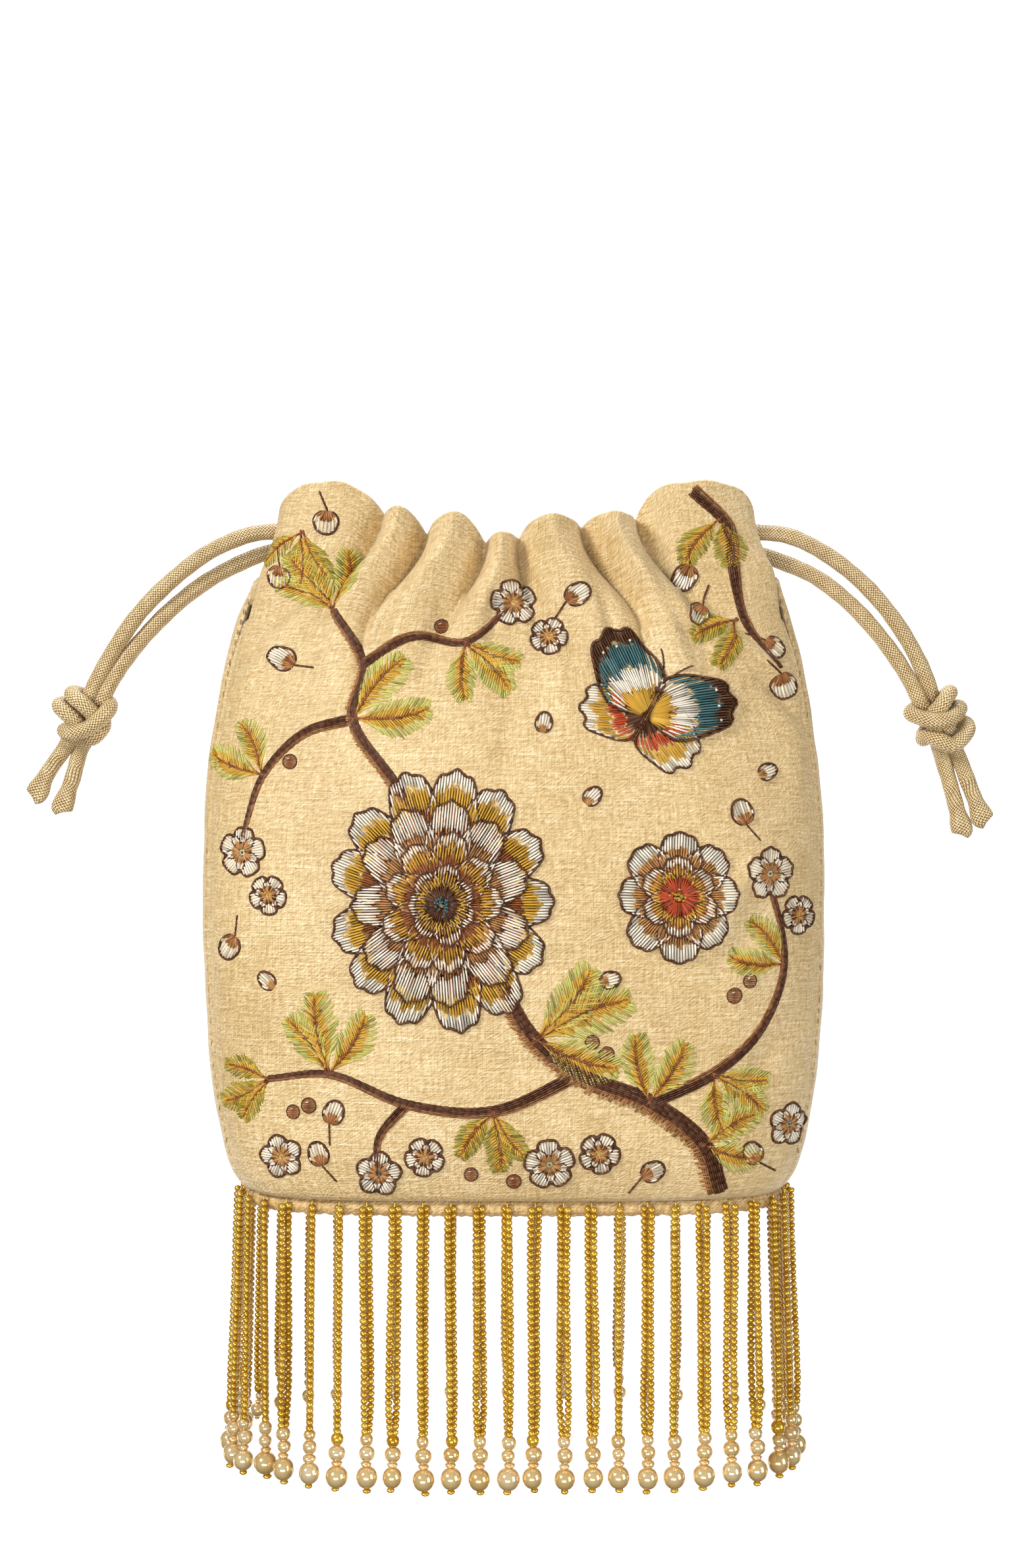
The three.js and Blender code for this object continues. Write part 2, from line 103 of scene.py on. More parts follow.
# %% Lamps
def add_lamp(name, place, aim, size, power):
    lamp = bpy.data.objects.new(name, bpy.data.lights.new(name, "AREA"))
    lamp.data.shape = "RECTANGLE"
    lamp.data.size, lamp.data.size_y = size
    lamp.data.energy = power
    lamp.location = place
    away = np.array(place) - np.array(aim)
    tilt = math.atan2(math.hypot(away[0], away[1]), away[2])
    lamp.rotation_euler = (tilt, 0, math.atan2(away[0], -away[1]))
    bpy.context.scene.collection.objects.link(lamp)
    return lamp


POUCH_MIDDLE, WALL_FOOT = (0, 0, -0.11), (0, 1.6, 0.0)
lamps = [
    add_lamp("key_lamp", (-0.78, -0.66, 0.5), POUCH_MIDDLE, (0.3, 0.3), 12.0),
    add_lamp("fill_lamp", (0.95, -0.65, 0.0), POUCH_MIDDLE, (0.5, 0.8), 6.4),
    add_lamp("low_lamp", (-0.1, -0.9, -0.3), POUCH_MIDDLE, (0.7, 0.2), 5.2),
    add_lamp("top_lamp", (0.1, 0.2, 0.85), POUCH_MIDDLE, (0.8, 0.5), 4.5),
    add_lamp("wall_lamp", (0, 0.6, 1.2), WALL_FOOT, (1.8, 0.5), 34),
]
print("lamps:", len(lamps))

# %% Sky
sky = bpy.data.worlds.new("sky")
bpy.context.scene.world = sky
sky.use_nodes = True
heaven = sky.node_tree
air = heaven.nodes["Background"]
air.inputs["Color"].default_value = (1, 0.985, 0.96, 1)
air.inputs["Strength"].default_value = 0.13
paler = heaven.nodes.new("ShaderNodeBackground")
paler.inputs["Color"].default_value = (1, 1, 1, 1)
ray = heaven.nodes.new("ShaderNodeLightPath")
either = heaven.nodes.new("ShaderNodeMixShader")
heaven.links.new(ray.outputs["Is Camera Ray"], either.inputs["Fac"])
heaven.links.new(air.outputs[0], either.inputs[1])
heaven.links.new(paler.outputs[0], either.inputs[2])
heaven.links.new(either.outputs[0], heaven.nodes["World Output"].inputs["Surface"])
bpy.context.scene.view_settings.view_transform = "Standard"
print("sky nodes:", len(heaven.nodes))

# %% [markdown]
# ## A small mesh kit
#
# Thousands of beads and stitches would be slow to add one by one. Each shape is kept as an array of
# points, an array of four-sided faces and an array of triangles, and many copies are joined before
# Blender sees them.

# %% Pieces
def joined(parts):
    """Several (points, quads, triangles) as one."""
    points, quads, tris, start = [], [], [], 0
    for p, q, t in parts:
        points.append(p)
        quads.append(q + start)
        tris.append(t + start)
        start += len(p)
    return np.concatenate(points), np.concatenate(quads), np.concatenate(tris)


def new_piece(name, shape, finishes, finish_of=None, tone=None, cloth_map=None):
    """A piece of the object from a shape in millimetres. finish_of gives each face its finish."""
    points, quads, tris = shape
    mesh = bpy.data.meshes.new(name)
    mesh.vertices.add(len(points))
    mesh.vertices.foreach_set("co", (np.asarray(points) * MM).astype(np.float32).ravel())
    corners = np.concatenate([quads.ravel(), tris.ravel()]).astype(np.int32)
    mesh.loops.add(len(corners))
    mesh.loops.foreach_set("vertex_index", corners)
    counts = np.concatenate([np.full(len(quads), 4), np.full(len(tris), 3)])
    mesh.polygons.add(len(counts))
    mesh.polygons.foreach_set("loop_start", (np.cumsum(counts) - counts).astype(np.int32))
    for finish in finishes:
        mesh.materials.append(finish)
    if finish_of is not None:
        mesh.polygons.foreach_set("material_index", np.asarray(finish_of, np.int32))
    mesh.update(calc_edges=True)
    mesh.shade_smooth()
    if tone is not None:
        mesh.attributes.new("tone", "FLOAT", "POINT").data.foreach_set("value", tone.astype(np.float32))
    if cloth_map is not None:
        layer = mesh.uv_layers.new(name="cloth_map")
        layer.data.foreach_set("uv", np.asarray(cloth_map, np.float32).ravel())
    piece = bpy.data.objects.new(name, mesh)
    bpy.context.scene.collection.objects.link(piece)
    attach(piece, "root")
    return piece


print("pieces can be made from arrays")


# %% Turned shapes and their copies
def grid_faces(rows, columns, open_rows=(), open_columns=()):
    """Four-sided faces of a grid of points that closes both ways, less the gaps left open."""
    i, j = np.delete(np.arange(rows), open_rows), np.delete(np.arange(columns), open_columns)
    i, j = np.meshgrid(i, j, indexing="ij")
    next_i, next_j = (i + 1) % rows, (j + 1) % columns
    corners = [i * columns + j, i * columns + next_j, next_i * columns + next_j, next_i * columns + j]
    return np.stack(corners, -1).reshape(-1, 4)


def closed_rings(rings):
    """A skin over a row of rings, closed at both ends by triangles to the middle of the end ring."""
    count, sides = rings.shape[:2]
    j = np.arange(sides)
    k = (j + 1) % sides
    middle, last = np.full(sides, count * sides), (count - 1) * sides
    ends = [np.column_stack([middle, k, j]), np.column_stack([middle + 1, last + j, last + k])]
    points = np.vstack([rings.reshape(-1, 3), rings[[0, -1]].mean(axis=1)])
    return points, grid_faces(count, sides, open_rows=-1), np.concatenate(ends)


def lathe(rows, sides):
    """A turned shape about Z from (radius, height) rows, from the bottom up, closed at both ends."""
    angle = 2 * math.pi * np.arange(sides) / sides
    rings = [np.column_stack([r * np.cos(angle), r * np.sin(angle), np.full(sides, z)]) for r, z in rows]
    return closed_rings(np.array(rings))


def copies(shape, places, scales, axes):
    """Copies of a shape: places (n, 3), scales (n, 3), and the way that each one's own Z points."""
    points, quads, tris = shape
    up = axes / np.linalg.norm(axes, axis=1, keepdims=True)
    side = np.cross(up, [0.0, 1.0, 0.0])
    side /= np.linalg.norm(side, axis=1, keepdims=True)
    turn = np.stack([side, np.cross(up, side), up], 1)
    placed = (points * scales[:, None]) @ turn + places[:, None]
    shift = len(points) * np.arange(len(places))[:, None, None]
    return placed.reshape(-1, 3), (quads + shift).reshape(-1, 4), (tris + shift).reshape(-1, 3)


print("faces of a small closed grid:", len(grid_faces(4, 3)))


# %% Paths and tubes
def smooth(low, high, x):
    """From 0 at low to 1 at high, level at both ends. low may be the higher number."""
    t = np.clip((x - low) / (high - low), 0, 1)
    return t * t * (3 - 2 * t)


def curve_between(t, start, start_slope, end, end_slope):
    """A smooth curve that leaves the start and comes to the end with the given slopes, for t from 0 to 1."""
    return ((2 * t**3 - 3 * t**2 + 1) * start + (t**3 - 2 * t**2 + t) * start_slope
            + (3 * t**2 - 2 * t**3) * end + (t**3 - t**2) * end_slope)


def run_of(path):
    """How far along a path each of its points is. A grid of points is a row of paths."""
    steps = np.linalg.norm(np.diff(path, axis=0), axis=-1)
    return np.concatenate([0 * steps[:1], np.cumsum(steps, axis=0)])


def smooth_path(points, step):
    """A smooth curve through points, as points about a step apart."""
    p = np.asarray(points, float)
    p = np.vstack([2 * p[0] - p[1], p, 2 * p[-1] - p[-2]])
    t = np.linspace(0, 1, 24, endpoint=False)[:, None]
    fine = []
    for a, b, c, d in zip(p[:-3], p[1:-2], p[2:-1], p[3:]):
        before, here, after = [max(np.linalg.norm(v - u), 1e-6) ** 0.5 for u, v in ((a, b), (b, c), (c, d))]
        leaving = (c - b) + here * ((b - a) / before - (c - a) / (before + here))
        coming = (c - b) + here * ((d - c) / after - (d - b) / (here + after))
        fine.append(curve_between(t, b, leaving, c, coming))
    fine = np.vstack(fine + [p[-2:-1]])
    along = run_of(fine)
    count = max(3, int(round(along[-1] / step)) + 1)
    at = np.linspace(0, along[-1], count)
    return np.column_stack([np.interp(at, along, column) for column in fine.T])


def tube_frames(path, settle=8.0):
    """Directions across a path that turn with it as little as they can, and face the front at its end."""
    ahead = np.gradient(path, axis=0)
    ahead /= np.linalg.norm(ahead, axis=1, keepdims=True)
    side = np.cross(ahead[0], [0.0, 1.0, 0.0])
    sides = []
    for t in ahead:
        side = side - t * (side @ t)
        side = side / np.linalg.norm(side)
        sides.append(side)
    sides = np.array(sides)
    through = np.cross(ahead, sides)
    wanted = np.cross(ahead[-1], [0.0, 1.0, 0.0])
    run = run_of(path)
    turn = math.atan2(wanted @ through[-1], wanted @ sides[-1])
    turn = turn * smooth(run[-1] - 2 * settle, run[-1] - settle, run)[:, None]
    return np.cos(turn) * sides + np.sin(turn) * through, np.cos(turn) * through - np.sin(turn) * sides


def tube(path, wide, deep, sides, slant=0.0):
    """A closed tube with half sizes wide and deep at each point. slant makes one side of its end longer."""
    across, through = tube_frames(path)
    angle = 2 * math.pi * np.arange(sides) / sides
    rings = (path[:, None] + np.multiply.outer(wide, np.cos(angle))[..., None] * across[:, None]
             + np.multiply.outer(deep, np.sin(angle))[..., None] * through[:, None])
    ahead = (path[-1] - path[-2]) / np.linalg.norm(path[-1] - path[-2])
    run = run_of(path)
    share = smooth(2.5 * abs(slant) + 0.1, 0, run[-1] - run)
    rings += slant * np.multiply.outer(share, np.cos(angle))[..., None] * ahead
    return closed_rings(rings)


print("points on a path of 10 mm:", len(smooth_path([(0, 0, 0), (4, 0, 3), (8, 0, 6)], 2.0)))

# %% [markdown]
# ## Shared effects for the finishes
#
# Silk shows its threads: fine upright ones, stronger level ones with thick places called slubs, and
# a faint slanting grain. Cord shows a herringbone of small plaits. Both are node groups that read
# the map of the cloth or cord and give back a height and a tone, and each finish sets its own scale.
# The tone of the cord rises with the height of its plaits, which paints shade into the grooves and
# light onto the crests. Thread and beads take their tone from a number kept at each point.

# %% Node helpers
def add_node(tree, kind, **settings):
    node = tree.nodes.new(kind)
    for key, value in settings.items():
        setattr(node, key, value)
    return node


def wire(tree, source, target):
    tree.links.new(source, target)


def sum_of(tree, terms):
    """A chain of nodes that adds weighted values, given as (output, weight)."""
    total = None
    for output, weight in terms:
        node = add_node(tree, "ShaderNodeMath", operation="MULTIPLY_ADD")
        wire(tree, output, node.inputs[0])
        node.inputs[1].default_value = weight
        if total is None:
            node.inputs[2].default_value = 0
        else:
            wire(tree, total, node.inputs[2])
        total = node.outputs[0]
    return total


def stretched_noise(tree, vector, scale, detail=2.0, rough=0.5, turn=0.0):
    """Noise with its own count of features to a unit along each axis, after a turn of the axes."""
    place = add_node(tree, "ShaderNodeMapping", vector_type="TEXTURE")
    place.inputs["Rotation"].default_value = (0, 0, turn)
    place.inputs["Scale"].default_value = [1 / s for s in scale]
    wire(tree, vector, place.inputs["Vector"])
    noise = add_node(tree, "ShaderNodeTexNoise")
    noise.inputs["Scale"].default_value = 1
    noise.inputs["Detail"].default_value = detail
    noise.inputs["Roughness"].default_value = rough
    wire(tree, place.outputs["Vector"], noise.inputs["Vector"])
    return noise.outputs["Fac"]


def new_group(name, inputs, outputs):
    group = bpy.data.node_groups.new(name, "ShaderNodeTree")
    for kind, label, value in inputs:
        socket = group.interface.new_socket(label, in_out="INPUT", socket_type=kind)
        if value is not None:
            socket.default_value = value
    for label in outputs:
        group.interface.new_socket(label, in_out="OUTPUT", socket_type="NodeSocketFloat")
    return group, group.nodes.new("NodeGroupInput"), group.nodes.new("NodeGroupOutput")


print("node helpers ready")

# %% Silk threads
def silk_group():
    inputs = [("NodeSocketVector", "Map", None)]
    group, given, result = new_group("silk_threads", inputs, ["Height", "Tone", "Slub"])
    where = given.outputs["Map"]
    upright = stretched_noise(group, where, (2600, 130, 1), 1.5)
    level = stretched_noise(group, where, (100, 2600, 1), 2.0)
    dash = stretched_noise(group, where, (560, 2300, 1), 1.0, 0.5, turn=0.5)
    crackle = stretched_noise(group, where, (400, 1200, 1), 3.0, 0.65, turn=-0.15)
    broad = stretched_noise(group, where, (30, 20, 1), 3.0)
    slub_noise = stretched_noise(group, where, (42, 1100, 1), 1.0)
    slub = add_node(group, "ShaderNodeMapRange")
    slub.inputs["From Min"].default_value, slub.inputs["From Max"].default_value = 0.6, 0.78
    wire(group, slub_noise, slub.inputs["Value"])
    height = sum_of(group, [(upright, 0.3), (level, 0.4), (dash, 0.8), (crackle, 0.45),
                            (slub.outputs[0], 0.35)])
    tone = sum_of(group, [(upright, 0.3), (level, 0.4), (dash, 0.46), (crackle, 0.12), (broad, 0.18),
                          (slub.outputs[0], 0.1)])
    wire(group, height, result.inputs["Height"])
    wire(group, tone, result.inputs["Tone"])
    wire(group, slub.outputs[0], result.inputs["Slub"])
    return group


SILK_THREADS = silk_group()
print("group:", SILK_THREADS.name)

# %% Plaited cord
def plait_group():
    inputs = [("NodeSocketVector", "Map", None), ("NodeSocketFloat", "Plaits", 12.0)]
    group, given, result = new_group("plait", inputs, ["Height", "Tone"])
    split = add_node(group, "ShaderNodeSeparateXYZ")
    wire(group, given.outputs["Map"], split.inputs[0])

    def maths(operation, a, b=None):
        node = add_node(group, "ShaderNodeMath", operation=operation)
        for socket, value in zip(node.inputs, (a, b)):
            if value is None:
                continue
            if isinstance(value, (int, float)):
                socket.default_value = value
            else:
                wire(group, value, socket)
        return node.outputs[0]

    around = maths("MULTIPLY", split.outputs["X"], given.outputs["Plaits"])
    along = maths("MULTIPLY", split.outputs["Y"], given.outputs["Plaits"])
    rising, falling = maths("ADD", around, along), maths("SUBTRACT", around, along)
    waves = [maths("SINE", maths("MULTIPLY", maths("FRACT", v), math.pi)) for v in (rising, falling)]
    turns = maths("ADD", maths("FLOOR", rising), maths("FLOOR", falling))
    over = maths("MULTIPLY", maths("FRACT", maths("MULTIPLY", turns, 0.5)), 2)
    under = maths("SUBTRACT", 1, over)
    height = maths("ADD", maths("MULTIPLY", waves[0], over), maths("MULTIPLY", waves[1], under))
    wear = stretched_noise(group, given.outputs["Map"], (5, 4, 1), 3)
    wire(group, height, result.inputs["Height"])
    # Painted shade and light: the tone rises with the height, darker in the grooves between plaits and
    # lighter on their crests; the wear noise adds random mottling.
    wire(group, sum_of(group, [(height, 0.62), (wear, 0.5)]), result.inputs["Tone"])
    return group


PLAIT = plait_group()
print("group:", PLAIT.name)

# %% [markdown]
# ## The finishes
#
# Pale gold silk is a cloth with a soft shine, so it keeps a middling roughness and a little sheen.
# The piping is the same silk pulled round a cord, and looks deeper: its colours are a darker copy of
# the silk's, painted shade for where it sits under the hem. The drawcord is waxed, so it shines a
# little more. The seed beads are gold-lined glass and the larger beads are plated, so both are half
# metal under a clear coat, and their colour changes a little from bead to bead. Both bead finishes
# paint shade towards the rim.

# %% Finish helpers
def new_finish(name):
    finish = bpy.data.materials.new(name)
    finish.use_nodes = True
    tree = finish.node_tree
    return finish, tree, tree.nodes["Principled BSDF"]


def colours_by(tree, value, stops):
    ramp = add_node(tree, "ShaderNodeValToRGB")
    while len(ramp.color_ramp.elements) < len(stops):
        ramp.color_ramp.elements.new(0.5)
    for element, (at, colour) in zip(ramp.color_ramp.elements, stops):
        element.position = at
        element.color = (*colour, 1)
    wire(tree, value, ramp.inputs["Fac"])
    return ramp.outputs["Color"]


def bumped(tree, shader, height, strength, distance):
    bump = add_node(tree, "ShaderNodeBump")
    bump.inputs["Strength"].default_value = strength
    bump.inputs["Distance"].default_value = distance
    wire(tree, height, bump.inputs["Height"])
    wire(tree, bump.outputs["Normal"], shader.inputs["Normal"])


def ranged(tree, value, low, high):
    spread = add_node(tree, "ShaderNodeMapRange")
    spread.inputs["To Min"].default_value, spread.inputs["To Max"].default_value = low, high
    wire(tree, value, spread.inputs["Value"])
    return spread.outputs[0]


print("finish helpers ready")


# %% Silk finishes
def silk_finish(name, stops):
    """Silk cloth: colours by the tone of its threads, smoother at the slubs."""
    finish, tree, shader = new_finish(name)
    where = add_node(tree, "ShaderNodeUVMap", uv_map="cloth_map")
    threads = add_node(tree, "ShaderNodeGroup", node_tree=SILK_THREADS)
    wire(tree, where.outputs["UV"], threads.inputs["Map"])
    wire(tree, colours_by(tree, threads.outputs["Tone"], stops), shader.inputs["Base Color"])
    wire(tree, ranged(tree, threads.outputs["Slub"], 0.42, 0.32), shader.inputs["Roughness"])
    shader.inputs["Sheen Weight"].default_value = 0.25
    shader.inputs["Sheen Roughness"].default_value = 0.35
    shader.inputs["Specular IOR Level"].default_value = 0.6
    bumped(tree, shader, threads.outputs["Height"], 1.0, 0.00045)
    return finish


SILK = silk_finish("pale_gold_silk", [
    (0.6, (0.43, 0.27, 0.095)), (0.74, (0.63, 0.445, 0.2)), (0.88, (0.84, 0.67, 0.4)),
])
# Painted shade: the piping takes a darker, deeper copy of the silk colours.
SHADED_PIPING_SILK = silk_finish("piping_silk", [
    (0.6, (0.44, 0.26, 0.08)), (0.74, (0.64, 0.425, 0.17)), (0.88, (0.86, 0.64, 0.33)),
])
print("finishes:", SILK.name, SHADED_PIPING_SILK.name)


# %% Bead finishes
def bead_finish(name, stops, rim, metal, rough, coat):
    """Polished beads: the tone of each bead, with painted shade that darkens it where its surface turns away.
    """
    finish, tree, shader = new_finish(name)
    tone = add_node(tree, "ShaderNodeAttribute", attribute_name="tone")
    facing = add_node(tree, "ShaderNodeLayerWeight")
    facing.inputs["Blend"].default_value = 0.4
    # Painted shade: mix towards the dark rim colour where the surface turns away from the camera.
    mix = add_node(tree, "ShaderNodeMix", data_type="RGBA")
    wire(tree, facing.outputs["Facing"], mix.inputs["Factor"])
    wire(tree, colours_by(tree, tone.outputs["Fac"], stops), mix.inputs["A"])
    mix.inputs["B"].default_value = (*rim, 1)
    wire(tree, mix.outputs["Result"], shader.inputs["Base Color"])
    wire(tree, ranged(tree, tone.outputs["Fac"], rough[0], rough[1]), shader.inputs["Roughness"])
    shader.inputs["Metallic"].default_value = metal
    shader.inputs["Coat Weight"].default_value = coat
    shader.inputs["Coat Roughness"].default_value = 0.06
    return finish


# The rim colours are painted shade for the dark edges of the beads.
SEED_GOLD = bead_finish(
    "seed_gold", [(0.0, (0.58, 0.3, 0.012)), (0.5, (0.74, 0.435, 0.03)), (1.0, (0.92, 0.65, 0.1))],
    rim=(0.34, 0.15, 0.004), metal=0.55, rough=(0.2, 0.09), coat=0.5)
PLATED = bead_finish(
    "champagne_plating", [(0.0, (0.77, 0.52, 0.2)), (0.5, (0.88, 0.66, 0.32)), (1.0, (0.97, 0.81, 0.51))],
    rim=(0.54, 0.28, 0.035), metal=0.5, rough=(0.17, 0.06), coat=0.7)
print("finishes:", SEED_GOLD.name, PLATED.name)


# %% Waxed cord finish
def cord_finish():
    finish, tree, shader = new_finish("waxed_cord")
    where = add_node(tree, "ShaderNodeUVMap", uv_map="cloth_map")
    plait = add_node(tree, "ShaderNodeGroup", node_tree=PLAIT)
    plait.inputs["Plaits"].default_value = 15
    wire(tree, where.outputs["UV"], plait.inputs["Map"])
    # Dark to light by the plait tone: painted shade in the grooves, painted light on the crests.
    stops = [(0.4, (0.22, 0.09, 0.02)), (0.6, (0.7, 0.43, 0.155)), (0.8, (1.0, 0.79, 0.44))]
    wire(tree, colours_by(tree, plait.outputs["Tone"], stops), shader.inputs["Base Color"])
    wire(tree, ranged(tree, plait.outputs["Tone"], 0.52, 0.34), shader.inputs["Roughness"])
    shader.inputs["Coat Weight"].default_value = 0.12
    bumped(tree, shader, plait.outputs["Height"], 1.0, 0.0006)
    return finish


WAXED_CORD = cord_finish()
print("finish:", WAXED_CORD.name)

# %% [markdown]
# ## The drawcords
#
# Two cords run in the casing, one drawn out at each side. Each comes out as two lengths that hang in
# an arch, go through one overhand knot together and end in cut, pressed tails. A curve with a round
# bevel would be quick, but a tube made point by point can be pressed flat at the tails and can carry
# a map for its plait. The routes are the same points that the solids follow.

# %% Cord routes
CORD_RADIUS = 2.45
ROUTES = {
    "left": {
        "upper": [(-74, -2.6, 3.8), (-81, -2.6, 2.6), (-92.4, -2.2, -2.4), (-104, -1.8, -11.2),
                  (-113.4, -1.2, -20.6), (-120.4, -0.8, -30.4), (-125.4, -0.4, -39)],
        "lower": [(-74, 2.8, -1.6), (-81, 2.6, -4), (-91.8, 2, -9.6), (-101.8, 1.6, -17),
                  (-110, 1, -25), (-116.6, 0.6, -32.8), (-121.4, 0.2, -40)],
        "knot": (-131.2, 0, -51),
        "tails": [[(-136.6, 2.4, -61), (-141.6, 0.6, -69), (-146.8, -0.6, -79.4)],
                  [(-132.2, 3.2, -62), (-134.6, 1.6, -71.6), (-138.8, 0.4, -83.6)]],
    },
    "right": {
        "upper": [(74, -2.6, 3.6), (83, -2.6, 2.6), (93.4, -2.2, -2.2), (104.4, -1.8, -10.4),
                  (113.2, -1.2, -19.8), (119.8, -0.8, -29.4), (124.4, -0.4, -38.4)],
        "lower": [(74, 2.8, -2.2), (82, 2.6, -4.8), (92, 2, -9.4), (101.6, 1.6, -16.8),
                  (109, 1, -24.6), (115.4, 0.6, -33), (120, 0.2, -40.4)],
        "knot": (129, 0, -52.2),
        "tails": [[(130.8, 3.2, -64), (133.6, 1.6, -75), (137.4, 0.4, -90.6)],
                  [(135.4, 2.4, -63.4), (139, 0.6, -74), (144, -0.6, -87)]],
    },
}
KNOTS = {  # each cord's way through its knot, from the middle of the knot
    "left": {
        "upper": [(2.7, 0.5, 6.2), (0.7, 2.8, 1.3), (-3.8, 3, -4.1), (-4.9, -0.8, -5.2), (-1.8, -4.4, -5.9),
                  (3.2, -5.4, -4.6), (6.6, -4.6, -1.7), (8.6, -1.5, 1.3), (7.9, 2.4, 3.2), (3.2, 6.2, 4.6),
                  (-1.3, 5.2, 5.9), (-2.9, 1.5, 6.4), (-1.9, -2.6, 5), (1.7, -4.2, 2.3), (4.2, -2.4, -0.9),
                  (2.4, -0.2, -6)],
        "lower": [(5.6, 1.5, 4.2), (2.6, 5.6, 0.4), (-2, 6.2, -4.6), (-3, 3.2, -6.9), (0.5, 1, -7.6),
                  (3.8, -1, -7.2), (5.8, -0.6, -5.2), (6.2, 2.4, -2.6), (3, 7, 0.5), (-3, 6, 2.5),
                  (-6.5, 2.5, 3), (-6.3, -1, 2), (-4.2, -3, 0.2), (-1.4, -2.4, -2.6), (-3, 0.2, -6)],
    },
    "right": {
        "upper": [(-1.7, 1.5, 6.9), (0.3, 6, 2), (5, 6.5, -2.6), (8.6, 2, -1.8), (8.4, -1.6, -3.8),
                  (6.2, -3.8, -6.6), (3.3, -4.4, -8.4), (-0.7, -3.6, -7), (-3.2, -1, -5.8), (-4.2, 2, -6.4),
                  (-2.2, 6, -3.4), (2.3, 7.5, 1.5), (5.9, 5, 3.2), (6.7, 1.5, 2.9), (5.2, -1.6, 1.5),
                  (2.8, -2.2, -0.8), (3.4, 0.6, -6)],
        "lower": [(-4.6, 0.5, 3.5), (-1.7, 3.2, 0.5), (3.3, 3.4, -1.6), (5.9, 0.8, 0.8), (4.6, -3, 0.9),
                  (2, -5, -0.6), (-1.6, -5.6, -1.2), (-5.6, -4.6, -0.5), (-8.4, -1, 1.2), (-6.4, 2.8, 2.7),
                  (-1.7, 6, 4.4), (2.6, 5, 6.2), (3.5, 1, 7.6), (2.5, -2.6, 6.9), (0.3, -4.2, 4),
                  (-2, -2.4, 0.5), (-0.9, -0.2, -5.4)],
    },
}
print("cord routes:", list(ROUTES))

# %% Make the four lengths of cord
CORD_SIDES, CORD_STEP, CUT_POINTS, CORD_ROUND = 16, 0.6, 4, 2 * math.pi * CORD_RADIUS
PRESS_STARTS, PRESS_FULL, PRESSED_WIDER, PRESSED_THINNER = 9, 2.5, 0.42, 0.3
END_ROUNDING, END_SLANT, LENGTH_IN_CASING = 2.2, 0.9, 8


def make_cord(name, arch, knot, tail, inward, slant):
    """A length of cord from inside the casing, down its arch and through the knot to its pressed tail."""
    start = np.array(arch[0]) + np.array([inward, 0, 0])
    path = smooth_path([start, *arch, *knot, *tail], CORD_STEP)[:-CUT_POINTS]
    along = run_of(path)
    to_end = along[-1] - along
    pressed = smooth(PRESS_STARTS, PRESS_FULL, to_end)
    wobble = 1 + 0.02 * np.sin(along / 2.3) + 0.015 * np.sin(along / 0.9)
    rounding = np.sqrt(np.clip(1 - (1 - to_end / END_ROUNDING).clip(0) ** 2, 0.1, 1))
    wide = CORD_RADIUS * wobble * (1 + PRESSED_WIDER * pressed) * rounding
    deep = CORD_RADIUS * wobble * (1 - PRESSED_THINNER * pressed) * rounding
    shape = tube(path, wide, deep, CORD_SIDES, slant)
    around, length = np.meshgrid(np.arange(CORD_SIDES), np.arange(len(path) - 1))
    u = np.stack([around, around + 1, around + 1, around], -1) / CORD_SIDES
    v = along[np.stack([length, length, length + 1, length + 1], -1)] / CORD_ROUND
    ends = np.zeros((3 * len(shape[2]), 2))
    ends[:, 1] = np.repeat([0, along[-1] / CORD_ROUND], len(ends) // 2)
    where = np.vstack([np.stack([u, v], -1).reshape(-1, 2), ends])
    piece = new_piece(name, shape, [WAXED_CORD], cloth_map=where)
    np.array(arch[0]) * MM
    print(name, "length", round(along[-1]), "mm")
    return piece


for side, sign in (("left", -1), ("right", 1)):
    route = ROUTES[side]
    for arch, tail in (("upper", 1), ("lower", 0)):
        knot = np.array(route["knot"]) + np.array(KNOTS[side][arch])
        cord = make_cord(f"drawcord_{side}_{arch}", route[arch], knot, route["tails"][tail],
                         -LENGTH_IN_CASING * sign, END_SLANT * (1 - 2 * tail))
        if arch == "upper":
            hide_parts(f"drawcord_{side}")

# %% [markdown]
# ## The form of the cloth
#
# The pouch is a loft of rounded oblongs, narrow at the gathered mouth and full below. Near the mouth
# the cloth is pulled into folds: each has a crest that stands out and up, and sinks to a crease on
# both sides. A cloth simulation would give other folds than those of the photograph, so the folds
# are a table, and the cloth is worked out from it point by point.

# %% Tables of the form
HEM_Z, LIP, SEAM_INSET = -190.3, 74.0, 3.8
SECTIONS = np.array([  # z, half width, half depth, squareness
    (-190.4, 79.6, 40.3, 4), (-188.8, 81.6, 41.5, 3.9), (-184.5, 84.4, 43, 3.7), (-174, 87.4, 45, 3.4),
    (-154, 91.2, 46.8, 3.1), (-124, 93.1, 47.4, 2.8), (-94, 93.7, 46.4, 2.6), (-66, 92.2, 43, 2.4),
    (-42, 88.6, 37.6, 2.25), (-22, 83.8, 31, 2.15), (-6, 77.6, 25.4, 2.1), (6, 75.2, 23.2, 2.1),
    (16, 74.2, 21.6, 2.1),
])
FOLDS = np.array([  # left edge, height there, height of the crest, fullness, bulge, reach
    (-70.5, 0.5, 16.1, 3.8, 2.6, 40), (-39.6, 7.6, 7.8, 2.2, 4.6, 50), (-26, 1.4, 5.6, 2.4, 6, 64),
    (-8.3, -1.4, 0.4, 2, 4.4, 42), (1.5, -1, 5.6, 2.4, 6.4, 60), (20.2, 2.4, 6.6, 2.4, 6, 70),
    (36.9, 5, 16.3, 4.6, 3, 44), (70.5, 0.5, 0.5, 2, 0, 34),
])
FOLD_LEFT, FOLD_EDGE, FOLD_CREST, FOLD_FULLNESS, FOLD_BULGE, FOLD_REACH = FOLDS.T
